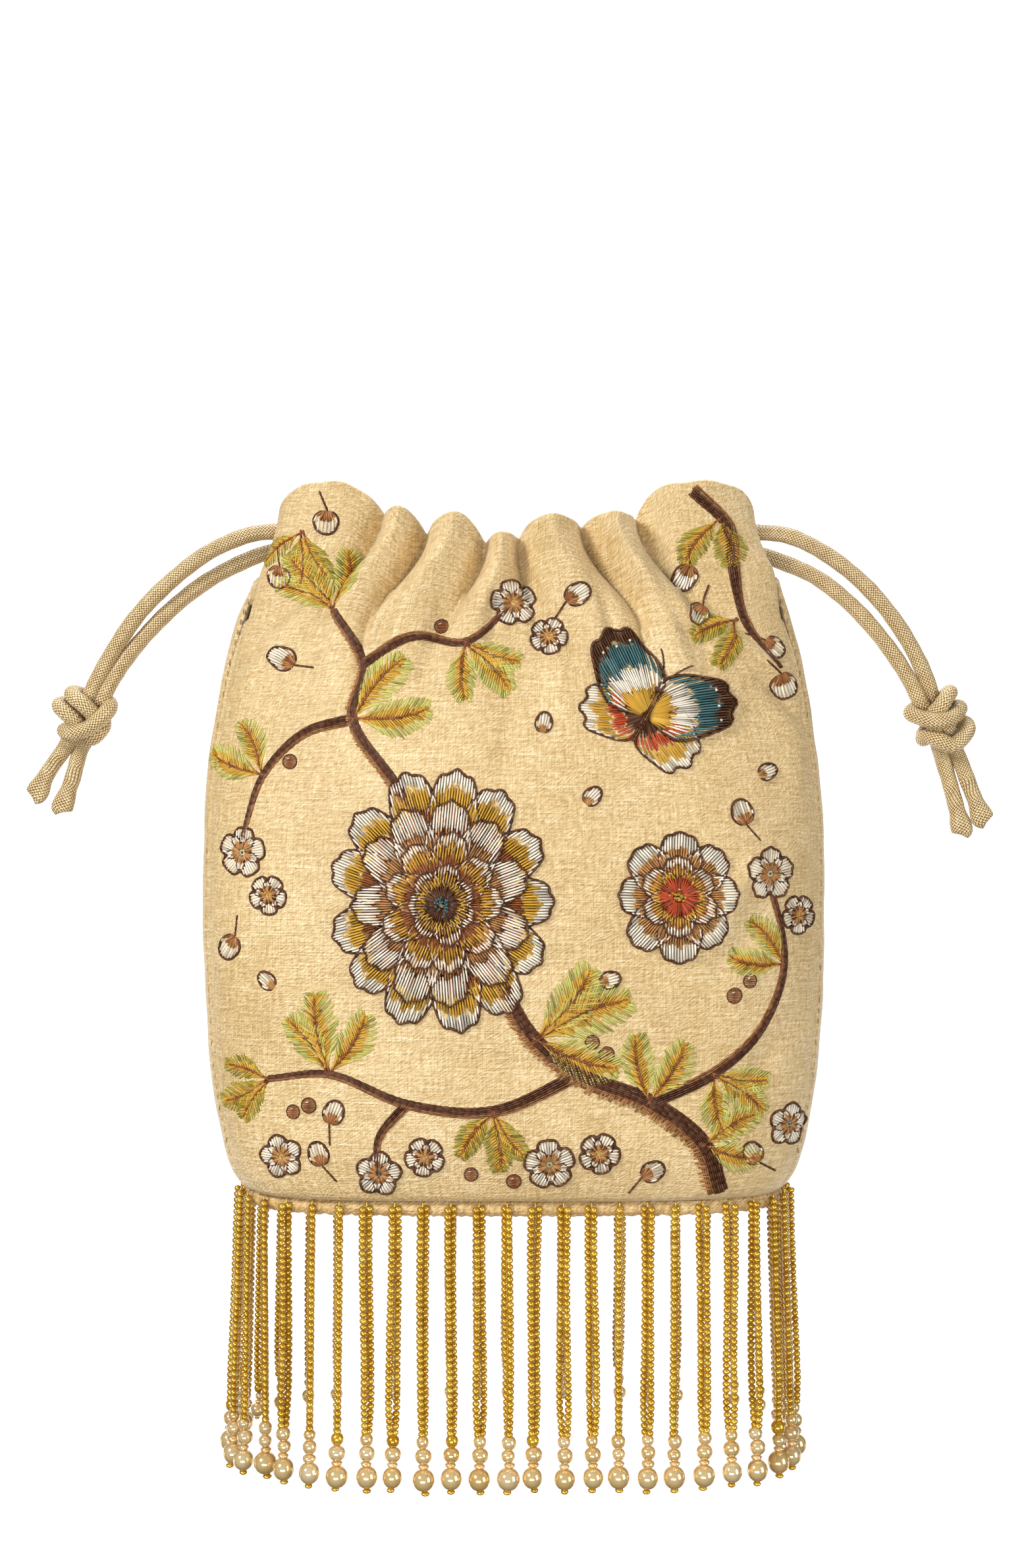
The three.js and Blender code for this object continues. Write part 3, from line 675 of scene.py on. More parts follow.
BACK_DROP, CREASE_DEPTH, PINCH_DEPTH, FAN_DEPTH, FAN_POWER = 5.0, 5.0, 3.0, 30.0, 0.64
RUFFLE_FLARE, RUFFLE_SHIFT, SHOULDER_TUCK, SEAM_GROOVE = 4.8, 0.9, 3.4, 0.8
DENTS = [  # x, z, half length, half width, slant in degrees, depth: hollows and rises of the hanging cloth
    (71, -49, 9, 11, 0, 1.6), (82, -70, 5, 16, 0, -1.2), (-62, -38, 9, 12, 0, 1.3),
    (-30, -130, 34, 18, 12, 1.3), (36, -150, 30, 16, -10, 1.4), (58, -112, 16, 30, 0, -1.3),
    (-70, -150, 14, 22, 0, 1.2), (4, -176, 40, 7, 0, -0.8), (-37, -26, 15, 2.5, 64, 2.6),
    (-23, -30, 15, 2.6, 76, 2.2), (-6, -24, 13, 2.3, 86, 2.2), (12, -30, 14, 2.4, 95, -1.6),
    (28, -28, 16, 2.6, 106, 2.4), (45, -20, 15, 2.8, 118, 2.6), (63, -24, 14, 2.8, 140, 2.4),
    (72, -35, 12, 2.6, 142, -1.8), (79, -47, 11, 2.5, 132, 1.8), (-66, -20, 12, 2.7, 42, 2.2),
    (-73, -36, 13, 2.8, 50, -1.6), (60, -106, 16, 3.2, 56, -1.5), (65, -114, 16, 3.2, 56, 1.5),
    (-44, -90, 18, 4, 22, 0.9), (30, -82, 16, 4, -24, 0.9), (-2, -62, 14, 3.4, 80, 1.1),
    (70, -152, 14, 3, 48, 1.1), (-74, -120, 16, 3.4, 70, 1.0), (14, -122, 20, 4, 12, 0.8),
    (-10, -150, 24, 4, -8, 0.7),
]
print("sections:", len(SECTIONS), "folds:", len(FOLDS) - 1, "dents:", len(DENTS))


# %% Sections, lip and folds
def form_at(z):
    """Half width, half depth and squareness at a height, on a smooth curve through the sections."""
    levels, sizes = SECTIONS[:, 0], SECTIONS[:, 1:]
    number = np.arange(len(levels))
    before, after = np.maximum(number - 1, 0), np.minimum(number + 1, number[-1])
    slopes = (sizes[after] - sizes[before]) / (levels[after] - levels[before])[:, None]
    z = np.clip(z, levels[0], levels[-1])
    i = np.clip(np.searchsorted(levels, z, side="right") - 1, 0, len(levels) - 2)
    span = (levels[i + 1] - levels[i])[..., None]
    t = (z - levels[i])[..., None] / span
    found = curve_between(t, sizes[i], span * slopes[i], sizes[i + 1], span * slopes[i + 1])
    return found[..., 0], found[..., 1], found[..., 2]


def fold_over(side, lip_x):
    """Which fold each place of the lip is on, and how far across it, from -1 to 1."""
    x = np.clip(np.where(side < 0, lip_x, -lip_x), -LIP, LIP)
    i = np.clip(np.searchsorted(FOLD_LEFT, x, side="right") - 1, 0, len(FOLDS) - 2)
    across = 2 * (x - FOLD_LEFT[i]) / (FOLD_LEFT[i + 1] - FOLD_LEFT[i]) - 1
    return i, np.clip(across, -1, 1)


def back_drop(side, lip_x):
    """How much lower the lip is at the back."""
    return np.where(side < 0, 0, BACK_DROP * (1 - (lip_x / LIP) ** 4))


def lip_height(side, lip_x):
    """The height of the scalloped lip, a little uneven."""
    i, across = fold_over(side, lip_x)
    edge = FOLD_EDGE[i] + (FOLD_EDGE[i + 1] - FOLD_EDGE[i]) * (across + 1) / 2
    crown = 1 - np.abs(across) ** np.where(side < 0, FOLD_FULLNESS[i], 2)
    uneven = 0.4 * np.sin(lip_x / 2.9 + 1.2) + 0.2 * np.sin(lip_x / 1.4)
    return edge + (FOLD_CREST[i] - edge) * crown + uneven - back_drop(side, lip_x)


def lip_place(side, share, below, turns=8):
    """Where the upright line of cloth through a point meets the lip. The folds fan out below it.

    below gives the drop from a lip of some height to the point.
    """
    lip_x = LIP * share
    for _ in range(turns):
        power = 1 + (FAN_POWER - 1) * smooth(0, FAN_DEPTH, below(lip_height(side, lip_x)))
        lip_x = LIP * np.sign(share) * np.abs(share) ** (1 / power)
    return lip_x


print("lip heights at the front:", np.round(lip_height(-1, np.array([-57.0, 0, 57])), 1))


# %% Relief of the cloth
def fold_relief(side, lip_x, below):
    """How far the folds of the mouth stand out or sink in, at a distance below the lip."""
    i, across = fold_over(side, lip_x)
    crest = FOLD_BULGE[i] * (1 - smooth(4, FOLD_REACH[i], below))
    reach = np.where(across < 0, FOLD_REACH[i], FOLD_REACH[i + 1])
    inside = np.abs(lip_x) <= 70
    crease = -CREASE_DEPTH * inside * (1 - smooth(2, reach, below))
    from_crease = (1 - np.abs(across)) * (FOLD_LEFT[i + 1] - FOLD_LEFT[i]) / 2
    pinch = PINCH_DEPTH * inside * (1 - smooth(0, 0.75 * reach, below)) * np.exp(-((from_crease / 1.7) ** 2))
    return crease + (crest - crease) * (1 - np.abs(across) ** 1.5) - pinch


def soft_relief(side, x, z):
    """Hollows, rises and small waves of the hanging cloth, and the groove of the seam."""
    found = 0.3 * np.sin(x / 9.1 + z / 17 + 1.3) * np.sin(z / 12.7 - x / 31)
    found = (found + 0.12 * np.sin(x / 4.3 - z / 6.1) * np.sin(z / 5.3 + 0.6)) * smooth(-190, -176, z)
    from_seam = np.abs(x) - form_at(z)[0] + SEAM_INSET
    found = found - SEAM_GROOVE * np.exp(-((from_seam / 0.7) ** 2)) * (side < 0)
    for at_x, at_z, long, wide, slant, depth in DENTS:
        c, d = math.cos(math.radians(slant)), math.sin(math.radians(slant))
        along, across = c * (x - at_x) + d * (z - at_z), c * (z - at_z) - d * (x - at_x)
        dent = np.exp(-((along / long) ** 2) - (across / wide) ** 2)
        found = found - np.where(side < 0, depth, 0.6 * depth) * dent
    return found


def wall_at(side, share, z, inward=0.0, lip_x=None):
    """Points on the outside of the wall, or moved inward from it, and the direction out of it."""
    side, share, z = np.broadcast_arrays(side, share, z)
    wide, deep, square = form_at(z)
    if lip_x is None:
        lip_x = lip_place(side, share, lambda lip: lip - z)
    size = np.minimum(np.abs(share), 1)
    rest = np.maximum(1 - size**square, 0) ** (1 / square)
    nx, ny = np.sign(share) * size ** (square - 1) / wide, side * rest ** (square - 1) / deep
    length = np.hypot(nx, ny)
    nx, ny = nx / length, ny / length
    tuck = SHOULDER_TUCK * smooth(-24, -9, z) * smooth(0.93, 1, size)
    flare = np.where(side < 0, RUFFLE_FLARE * np.sign(share) + RUFFLE_SHIFT, 0)
    flare = flare * smooth(-24, -6, z) * smooth(0.68, 0.93, size)
    folds = fold_relief(side, lip_x, lip_height(side, lip_x) - z)
    out = folds + soft_relief(side, share * wide, z) - inward - tuck
    points = np.stack([share * wide + out * nx + flare, side * rest * deep + out * ny, z], -1)
    return points, np.stack([nx, ny, 0 * nx], -1)


print("middle of the front at half height:", np.round(wall_at(-1, 0.0, np.array(-90.0))[0], 1))

# %% [markdown]
# ## The two silk panels
#
# The front panel is sewn to the back panel at the sides, a little to the front. Each panel is one
# grid of points: up the outside, over the lip, down the inside round the channel for the cords, and
# down the lining to the hem. At each side the seam is left open at the channel, and there the cords
# come out.

# %% Places across a panel
MOUTH_HALF_WIDTH, MOUTH_HALF_DEPTH, MOUTH_SQUARE = 50.0, 11.0, 2.4
CLOTH, SEAM_DEPTH, SEAM_GAP, SLIT_DEPTH, USUAL_LIP_Z = 1.2, 9.0, 0.3, 16.6, 6
FINE = 900


def edge_depth(z):
    """How far to the front the back panel reaches at the sides. It draws back where the cords come out."""
    return SEAM_GAP / 2 - SEAM_DEPTH + SLIT_DEPTH * smooth(-9, -1, z)


def half_section(wide, deep, square):
    """A section from the middle of one side round to the other: shares of its half sizes, and the run."""
    s = np.linspace(0, 0.97, FINE)
    r = (1 - s**square) ** (1 / square)
    r = np.concatenate([r, np.linspace(r[-1], 0, FINE + 1)[1:]])
    s = np.concatenate([s, (1 - r[FINE:] ** square) ** (1 / square)])
    s, r = np.concatenate([s, s[-2:FINE:-1]]), np.concatenate([r, -r[-2:FINE:-1]])
    return s, r, run_of(np.column_stack([s * wide, r * deep]))


def across_panel(own_side, levels, count):
    """For each level and place across: its side of the pouch, and its share of the half width."""
    go = np.linspace(-1, 1, count)
    shares, sides = [], []
    for z in HEM_Z + (USUAL_LIP_Z - HEM_Z) * levels:
        wide, deep, square = (float(v) for v in form_at(np.array(z)))
        s, r, run = half_section(wide, deep, square)
        edge = SEAM_DEPTH + SEAM_GAP / 2 if own_side < 0 else float(edge_depth(z))
        at = np.abs(go) * np.interp(-edge / deep, -r, run)
        shares.append(np.sign(go) * np.interp(at, run, s))
        sides.append(np.where(np.interp(at, run, r) >= 0, own_side, -own_side))
    return np.array(sides), np.array(shares)


print("slit for the cords reaches back to y =", round(float(edge_depth(np.array(0.4))), 1))


# %% Lining and channel
def casing_level(side, lip_x):
    """The height of the channel that the cords run in."""
    return -6 - 4.4 * np.cos(math.pi / 2 * lip_x / LIP) ** 2 - back_drop(side, lip_x)


def casing_point(side, lip_x):
    """Where the drawn-in mouth passes, in plan."""
    angle = np.arcsin(np.clip(lip_x / LIP, -1, 1))
    x = MOUTH_HALF_WIDTH * np.sign(angle) * np.abs(np.sin(angle)) ** (2 / MOUTH_SQUARE)
    return x, side * MOUTH_HALF_DEPTH * np.cos(angle) ** (2 / MOUTH_SQUARE)


def lining_rows(inner_at, side, lip_x, lip_z):
    """Rows of points down the inside of a panel: round the channel of the cords, then to the hem."""
    level = casing_level(side, lip_x)
    channel = np.minimum(level + 6.6, lip_z - 1.5)
    mouth_x, mouth_y = casing_point(side, lip_x)
    rows = [inner_at(channel + share * (lip_z - channel)) for share in (0.6, 0.2)]
    round_channel = [(channel, 0.22), (np.minimum(level + 5.2, channel - 0.6), 0.62), (level + 3, 0.94),
                     (level, 1.0), (level - 3, 0.94), (level - 5.6, 0.6), (level - 7, 0.2)]
    for height, share in round_channel:
        x, y, _ = inner_at(height).T
        ruffle = 0.5 * np.sin(lip_x * 1.1) * share
        x, y = x + (mouth_x - x) * share, y + (mouth_y + side * ruffle - y) * share
        rows.append(np.column_stack([x, y, height]))
    start = level - 9
    for down in np.concatenate([np.linspace(0, 0.9, 22), np.linspace(0.93, 1, 6)[:-1]]):
        rows.append(inner_at(start + (HEM_Z - start) * down))
    rows.append(inner_at(HEM_Z + 1.2 + 0 * lip_z))
    return rows


print("channel at the middle of the front: z =", round(float(casing_level(-1, 0.0)), 1))


# %% Build a panel
def zipped(first, second):
    """Triangles between two rows of points that run side by side."""
    i = j = 0
    last_i, last_j = len(first) - 1, len(second) - 1
    made = []
    while i < last_i or j < last_j:
        if j == last_j or (i < last_i and (i + 1) / last_i <= (j + 1) / last_j):
            made.append((first[i], first[i + 1], second[j]))
            i += 1
        else:
            made.append((first[i], second[j + 1], second[j]))
            j += 1
    return made


def panel_levels(rows):
    """Heights of the rows as shares from hem to lip, closer together near the hem and the lip."""
    return np.concatenate([np.linspace(0, 0.06, 10)[:-1], np.linspace(0.06, 0.8, int(rows * 0.6))[:-1],
                           np.linspace(0.8, 1, int(rows * 0.4))])


def make_panel(name, own_side, columns, rows, half_map):
    """A panel as one grid: up the outside, over the lip, down the lining and under the hem."""
    levels = panel_levels(rows)
    side, share = across_panel(own_side, levels, columns)
    up = levels[:, None]
    lip_x = lip_place(side, share, lambda lip: (1 - up) * (lip - HEM_Z), turns=10)
    z = HEM_Z + (lip_height(side, lip_x) - HEM_Z) * up
    turned_in = 0.7 * np.linspace(-1, 1, columns) ** 80
    outer = wall_at(side, share, z, turned_in, lip_x)[0]
    inner = wall_at(side, share, z, CLOTH + turned_in, lip_x)[0]

    def inner_at(height):
        at = (height - HEM_Z) / (z[-1] - HEM_Z)
        return np.array([[np.interp(a, levels, inner[:, c, k]) for k in range(3)] for c, a in enumerate(at)])

    crown = (outer[-1] + inner[-1]) / 2 + np.array([0, 0, 0.45])
    lining = lining_rows(inner_at, side[-1], lip_x[-1], z[-1])
    allowance = [wall_at(side[0], share[0], z[0], depth, lip_x[0])[0] + np.array([0, 0, lift])
                 for lift, depth in ((0.9, 2.6), (0.6, 4.4), (0.1, 4.4))]
    grid = np.concatenate([outer, [crown, inner[-1]], lining, allowance])
    quads = grid_faces(len(grid), columns, open_columns=-1)[:, ::-own_side]
    up_outside, up_inside = list(range(len(outer) + 2)), list(range(len(grid) - 1, len(outer) + 1, -1))
    side_edges = [(np.array(t) * columns + edge)[:: 1 if (edge == 0) == (own_side < 0) else -1]
                  for edge in (0, columns - 1) for t in zipped(up_outside, up_inside)]
    tris = np.array(side_edges)
    run = run_of(grid) * MM
    across = np.broadcast_to(np.linspace(-half_map, half_map, columns), run.shape)
    flat = np.stack([across, run], -1).reshape(-1, 2)
    where = np.concatenate([flat[quads.ravel()], flat[tris.ravel()]])
    return new_piece(name, (grid.reshape(-1, 3), quads, tris), [SILK], cloth_map=where)


front = make_panel("silk_front", -1, 290, 190, 0.118)
back = make_panel("silk_back", 1, 220, 120, 0.145)
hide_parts("front_panel")
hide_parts("back_panel")
for piece, flat in ((front, (0.24, 0.235)), (back, (0.29, 0.235))):
    print(piece.name, "faces", len(piece.data.polygons))

# %% [markdown]
# ## Stitches
#
# A stitch is a slim spindle of silk that lies on the cloth with its ends sunk in. The picture is drawn
# flat, in millimetres across and up, and each stitch is then laid on the curved front. Stitches are
# kept by thread colour, because every colour becomes one piece with a finish of its own. A higher
# level lifts a stitch over those laid before it.

# %% Stitch kit
STITCHES = {}


def lay(colour, starts, ends, half=0.27, level=0.0):
    """Keep stitches of one colour, from starts to ends, with their half width."""
    starts, ends = np.atleast_2d(starts), np.atleast_2d(ends)
    extra = np.tile([half, level], (len(starts), 1))
    STITCHES.setdefault(colour, []).append(np.hstack([starts, ends, extra]))


def stem(points, colour, half=0.3, level=0.1, step=1.7):
    """A line of short stitches, each a little over the one before."""
    path = smooth_path(points, step)
    ahead = np.diff(path, axis=0)
    lay(colour, path[:-1] - 0.12 * ahead, path[1:] + 0.12 * ahead, half, level)


def heading(angle):
    return np.array([math.cos(angle), math.sin(angle)])


def turned(points, angle, place):
    """Points drawn with Y ahead, turned so that Y runs along the angle, and moved to a place."""
    ahead = heading(angle)
    aside = np.array([ahead[1], -ahead[0]])
    return np.asarray(place) + points[..., :1] * aside + points[..., 1:] * ahead


def petal(place, angle, length, width, bands, level=0.1, edge="brown", lobes=0.03):
    """Long and short stitches from the foot of a petal to its edge in bands of colour, and an outline."""
    def at(share, across):
        reach = 1 - 0.1 * across**2 - 0.4 * np.abs(across) ** 4 + lobes * np.cos(3 * math.pi * across)
        reach = length * reach
        spread = width * (0.22 + 0.78 * np.sin(math.pi / 2 * np.minimum(share / 0.72, 1)))
        return turned(np.stack([across * spread, share * reach], -1), angle, place)

    across = np.linspace(-0.97, 0.97, max(5, int(2 * width / 0.74)))
    for start, end, colour in bands:
        first = np.clip(start + chance.uniform(-0.07, 0.07, len(across)) * (start > 0.02), 0.0, 1)
        last = np.clip(end + chance.uniform(-0.07, 0.07, len(across)) * (end < 0.98), 0.05, 1)
        lay(colour, at(first, across), at(last, across), 0.42, level + 0.03 * start)
    if edge:
        rise = np.linspace(0.1, 0.85, 4)
        left, right = at(rise, -np.ones(4)), at(rise[::-1], np.ones(4))
        rim = at(np.ones(15), np.linspace(-1, 1, 15))
        stem(np.vstack([left, rim, right]), edge, 0.5, level + 0.12)


def leaf(place, angle, length, bend, outer, level=0.08):
    """Two rows of slanting stitches from the midrib to the edge, in two colours, and the midrib over them."""
    share = np.arange(0.03, 0.97, 0.78 / length)

    def rib_at(t):
        return np.stack([bend * length * np.sin(math.pi * t * 0.8), t * length], -1)

    def put(colour, start, end, half, lift):
        lay(colour, turned(start, angle, place), turned(end, angle, place), half, level + lift)

    for side in (-1, 1):
        half = 0.29 * length * np.sin(math.pi * share**0.78) ** 0.75 * (1.0 if side > 0 else 0.88)
        half = half * chance.uniform(0.86, 1.12, len(share))
        root, tip = rib_at(share), rib_at(np.minimum(share + 0.2, 1.03))
        slope = tip + np.stack([side * half, 0 * half], -1) - root
        split = np.clip(chance.normal(0.55, 0.12, len(share)), 0.3, 0.85)[:, None]
        put("gold", root, root + slope * split, 0.44, 0)
        put(outer, root + slope * (split - 0.12), root + slope, 0.38, 0.03)
        dark = chance.random(len(share)) < 0.4
        vein = slope[dark] * chance.uniform(0.2, 0.5, (dark.sum(), 1))
        put("rust", root[dark], root[dark] + vein, 0.32, 0.08)
    stem(turned(rib_at(np.linspace(-0.1, 0.92, 7)), angle, place), "rust", 0.46, level + 0.16)


print("stitch kit ready")


# %% Branches and sprays
def branch(points, half, thin, barbs):
    """Rows of stitches side by side along a path that thins to its end. Barbs are short light stitches."""
    path = smooth_path(points, 2.0)
    ahead = np.gradient(path, axis=0)
    ahead /= np.linalg.norm(ahead, axis=1, keepdims=True)
    aside = np.column_stack([-ahead[:, 1], ahead[:, 0]])
    taper = np.linspace(1, thin, len(path))[:, None]
    for across in np.linspace(-1, 1, max(3, int(2 * half / 0.55) + 1)):
        line = path + aside * taper * half * across
        line = line + chance.uniform(-0.5, 0.5, (len(path), 1)) * ahead
        colour = "brown" if across < 0.35 else "umber"
        level = 0.1 + 0.12 * (1 - across**2)
        lay(colour, line[:-1] - 0.3 * ahead[:-1], line[1:] + 0.3 * ahead[1:], 0.44, level)
    if barbs:
        at, run, out = (np.repeat(v[1:-1], 3, axis=0) for v in (path, ahead, aside * taper))
        at = at + chance.uniform(-0.9, 0.9, (len(at), 1)) * run
        long = chance.uniform(0.7, 1.5, (len(at), 1))
        lay("tan", at + out * half * 0.5, at + out * half * (1.0 + long * 0.5) + run * 0.8, 0.32, 0.26)


def spray(place, angle, count, length, outer):
    """Leaves that fan out from one place."""
    for k in range(count):
        from_middle = k - (count - 1) / 2
        turn = angle + 0.62 * from_middle
        size = length * (1 - 0.12 * abs(from_middle)) * chance.uniform(0.94, 1.06)
        leaf(np.asarray(place) + 1.2 * heading(turn), turn, size, 0.1 * (-1) ** k, outer)


print("branches and sprays ready")


# %% Flowers and fruit
PALE_PETAL = [(0, 0.42, "tan"), (0.32, 1, "ivory")]
BUD_PETAL = [(0, 0.5, "tan"), (0.4, 1, "ivory")]


def knots(places, colour, half=0.42, level=0.3):
    """Tiny stitches that look like knots of thread."""
    places = np.atleast_2d(places)
    lay(colour, places - [0.34, 0.1], places + [0.34, 0.1], half, level)


def blossom(place, radius, turn, heart, petals=5):
    """A small open flower: pale petals with a tan foot, a dark outline and a heart of knots."""
    for k in range(petals):
        angle = turn + 2 * math.pi * k / petals
        foot = np.asarray(place) + 0.1 * radius * heading(angle)
        petal(foot, angle, 0.92 * radius, 0.5 * radius, PALE_PETAL, 0.12, lobes=0.05)
    middle = np.array([[0, 0], [1, 0.3], [-0.8, 0.7], [0.1, -1], [0.2, 1.1]])
    knots(np.asarray(place) + 0.16 * radius * middle, heart)


def bud(place, angle, size):
    """A closed flower on its cup, with a short stalk."""
    stem([np.asarray(place) - 6 * heading(angle + 0.4), place], "brown", 0.42, 0.1, 1.4)
    petal(place, angle, size, 0.42 * size, BUD_PETAL, 0.12, lobes=0)
    petal(place, angle, 0.5 * size, 0.34 * size, [(0, 1, "rust")], 0.2, edge=None, lobes=0)


def berry(place, radius):
    """A round fruit of level stitches with an outline and one light stitch."""
    rise = np.linspace(-0.9, 0.9, max(4, int(2 * radius / 0.45)))
    half = np.sqrt(1 - rise**2)
    left, right = (np.asarray(place) + radius * np.column_stack([way * half, rise]) for way in (-1, 1))
    lay("rust", left, right, 0.28, 0.14)
    outline = [np.asarray(place) + radius * heading(turn) for turn in np.linspace(0, 2 * math.pi, 11)]
    stem(outline, "brown", 0.26, 0.2, 1.2)
    light = np.asarray(place) + radius * np.array([[-0.45, 0.35], [0.05, 0.5]])
    lay("ivory", light[0], light[1], 0.26, 0.34)


def rosette(place, squash, rings):
    """A large full flower: rings of petals, the outer ones laid first."""
    for number, (count, start, length, width, bands) in enumerate(rings):
        for k in range(count):
            angle = 2 * math.pi * (k + 0.5 * (number % 2)) / count + chance.uniform(-0.06, 0.06)
            ahead = heading(angle) * [squash, 1]
            reach = length * np.linalg.norm(ahead) * chance.uniform(0.93, 1.07)
            foot, angle = np.asarray(place) + start * ahead, math.atan2(ahead[1], ahead[0])
            petal(foot, angle, reach, width, bands, 0.35 + 0.42 * number, lobes=0.035)


print("flowers and fruit ready")


# %% Butterfly
HIND_WING = [(0, 0.4, "brown"), (0.3, 0.62, "red"), (0.55, 0.85, "gold"), (0.8, 1, "ivory")]
FORE_WING = [(0, 0.3, "gold"), (0.24, 0.56, "ivory"), (0.5, 0.86, "teal"), (0.8, 1, "brown")]


def butterfly(place, size, lean):
    """Two pairs of wings in bands of colour, a stitched body and two feelers."""
    place = np.asarray(place)
    up = lean + math.pi / 2
    for side in (-1, 1):
        petal(place, up + side * 2.0, 0.72 * size, 0.33 * size, HIND_WING, 0.12, lobes=0.06)
        petal(place, up + side * 0.95, size, 0.36 * size, FORE_WING, 0.6, lobes=0.04)
        spots = np.array([[-0.16, 0.8], [0.02, 0.8], [0.18, 0.8]]) * size
        knots(turned(spots, up + side * 0.95, place), "ivory", 0.6, 0.95)
        feeler = np.array([[0, 0.3], [side * 0.06, 0.5], [side * 0.16, 0.66], [side * 0.2, 0.7]]) * size
        stem(turned(feeler, up, place), "brown", 0.34, 0.1, 1.2)
    body = turned(np.array([[0, -0.36], [0.01, 0], [0, 0.3]]) * size, up, place)
    for shift, colour, level in ((-0.5, "brown", 1.1), (0, "umber", 1.2), (0.5, "brown", 1.1)):
        stem(body + shift * heading(lean), colour, 0.4, level, 1.3)


print("bands of a wing:", len(FORE_WING))

# %% [markdown]
# ## The picture on the front
#
# The picture is a garden of no one kind. A branch climbs in an S from the hem on the right, passes a
# large full flower on the left and ends below the mouth. A butterfly comes to it, and small flowers,
# buds, berries and leaves fill the cloth between them.

# %% Branches and leaves of the picture
MAIN_BRANCH = [(58, -188), (53, -174), (38, -162), (18, -154), (4, -142), (-6, -122), (-16, -100), (-34, -72),
               (-46, -54), (-44, -38), (-52, -22)]
TWIGS = [  # path, half width
    ([(38, -162), (56, -154), (70, -142), (77, -124), (74, -104)], 1.6),
    ([(18, -154), (-6, -164), (-30, -162), (-52, -154), (-70, -156)], 1.6),
    ([(-46, -54), (-60, -58), (-72, -70), (-78, -88)], 1.4),
    ([(-44, -38), (-28, -30), (-14, -32), (-2, -22)], 1.4),
    ([(-30, -162), (-38, -172), (-38, -182)], 1.2),
    ([(52, 14), (60, 4), (62, -8), (68, -24), (78, -38)], 1.5),
]
SPRAYS = [  # place, angle, leaves, length
    ((-52, -22), 2.1, 3, 19), ((-14, -32), 5.4, 3, 17), ((77, -124), 2.6, 2, 17), ((56, -154), -0.7, 3, 18),
    ((6, -144), 0.35, 3, 27), ((-52, -154), 1.7, 3, 21), ((-6, -164), -1.5, 3, 16), ((-72, -70), 2.4, 2, 18),
    ((-60, 2), 4.5, 3, 15), ((58, 6), 4.6, 2, 15), ((66, -24), 3.9, 2, 16), ((-46, -54), 0.5, 2, 22),
    ((38, -162), 1.4, 2, 20), ((-70, -156), 3.6, 3, 15), ((53, -174), 0.1, 2, 17),
]
branch(MAIN_BRANCH, 2.7, thin=0.35, barbs=True)
for points, half in TWIGS:
    branch(points, half, thin=0.4, barbs=False)
for place, angle, count, length in SPRAYS:
    spray(place, angle, count, length, "green" if length > 16 else "olive")
print("leaf and branch threads:", {c: sum(len(r) for r in rows) for c, rows in STITCHES.items()})

# %% Two large flowers and the butterfly
OUTER = [(0, 0.34, "brown"), (0.28, 0.58, "rust"), (0.5, 0.82, "gold"), (0.78, 1, "ivory")]
MIDDLE_RING = [(0, 0.36, "rust"), (0.3, 0.62, "tan"), (0.55, 1, "ivory")]
INNER = [(0, 0.5, "brown"), (0.4, 0.8, "gold"), (0.75, 1, "ivory")]
TAN_RING = [(0, 0.4, "rust"), (0.3, 0.7, "tan"), (0.62, 1, "ivory")]
RED_RING = [(0, 0.5, "red"), (0.4, 0.75, "gold"), (0.7, 1, "ivory")]
BLOOM, SECOND_BLOOM = np.array([-20, -106]), np.array([46, -104])
BLOOM_RINGS = [  # petals, start, length, half width, bands
    (13, 15, 22, 7.2, OUTER), (11, 9, 19.5, 6.4, MIDDLE_RING),
    (9, 4.5, 15, 5.4, OUTER), (7, 1, 10, 4.2, INNER),
]
rosette(BLOOM, 0.86, BLOOM_RINGS)
knots(BLOOM + 2.4 * chance.normal(0, 0.6, (34, 2)), "teal", 0.6, 2.1)
rosette(SECOND_BLOOM, 0.92, [(8, 5, 13.5, 6, TAN_RING), (6, 1.2, 10, 4.6, RED_RING)])
knots(SECOND_BLOOM + 1.6 * chance.normal(0, 0.6, (14, 2)), "gold", 0.55, 1.25)
butterfly((38, -52), 26, -0.5)
print("stitches so far:", sum(len(rows) for kept in STITCHES.values() for rows in kept))

# %% Small flowers, buds and berries
BLOSSOMS = [  # place, radius, turn
    ((73, -98), 7.2, 0.3), ((82, -110), 5.6, 0.9), ((-78, -92), 7, 0.2), ((-70, -104), 5.6, 1.0),
    ((0, -20), 6.6, 0.5), ((10, -30), 5.4, 1.1), ((-38, -182), 6.2, 0.2), ((-25, -177), 5.6, 0.8),
    ((10, -179), 7, 0.4), ((24, -176), 5.8, 1.1), ((-66, -178), 6, 0.6), ((79, -170), 6, 0.1),
]
BUDS = [  # place, angle, size
    ((52, -8), 4.4, 8), ((56, -20), 4.1, 7), ((78, -40), 5.2, 8), ((74, -30), 5.6, 7), ((-54, 8), 4.6, 7),
    ((-66, -8), 4.4, 7), ((-80, -116), 4.2, 7.5), ((15, -20), 0.6, 7.5), ((-54, -180), 1.9, 7),
    ((-52, -168), 1.2, 7), ((36, -183), 0.5, 7), ((70, -180), 2.2, 7), ((-64, -38), 2.6, 8),
    ((66, -84), 1.9, 7.5),
]
BERRIES = [  # place, radius
    ((62, -132), 2.2), ((66.5, -128), 2), ((-58, -163), 2.2), ((-62.6, -165), 2), ((-21, -27), 2.1),
    ((-64, -66), 2.1), ((26, -148), 2.2), ((22, -144.6), 2), ((0, -184), 2.1), ((-12, -182), 2),
]
FALLEN_PETALS = [  # place, angle
    ((20, -78), 0.8), ((24, -128), 0.3), ((8, -58), 1.4), ((70, -70), 0.4), ((-68, -130), 2.5),
]
for place, radius, turn in BLOSSOMS:
    blossom(place, radius, turn, "gold" if turn > 0.4 else "teal")
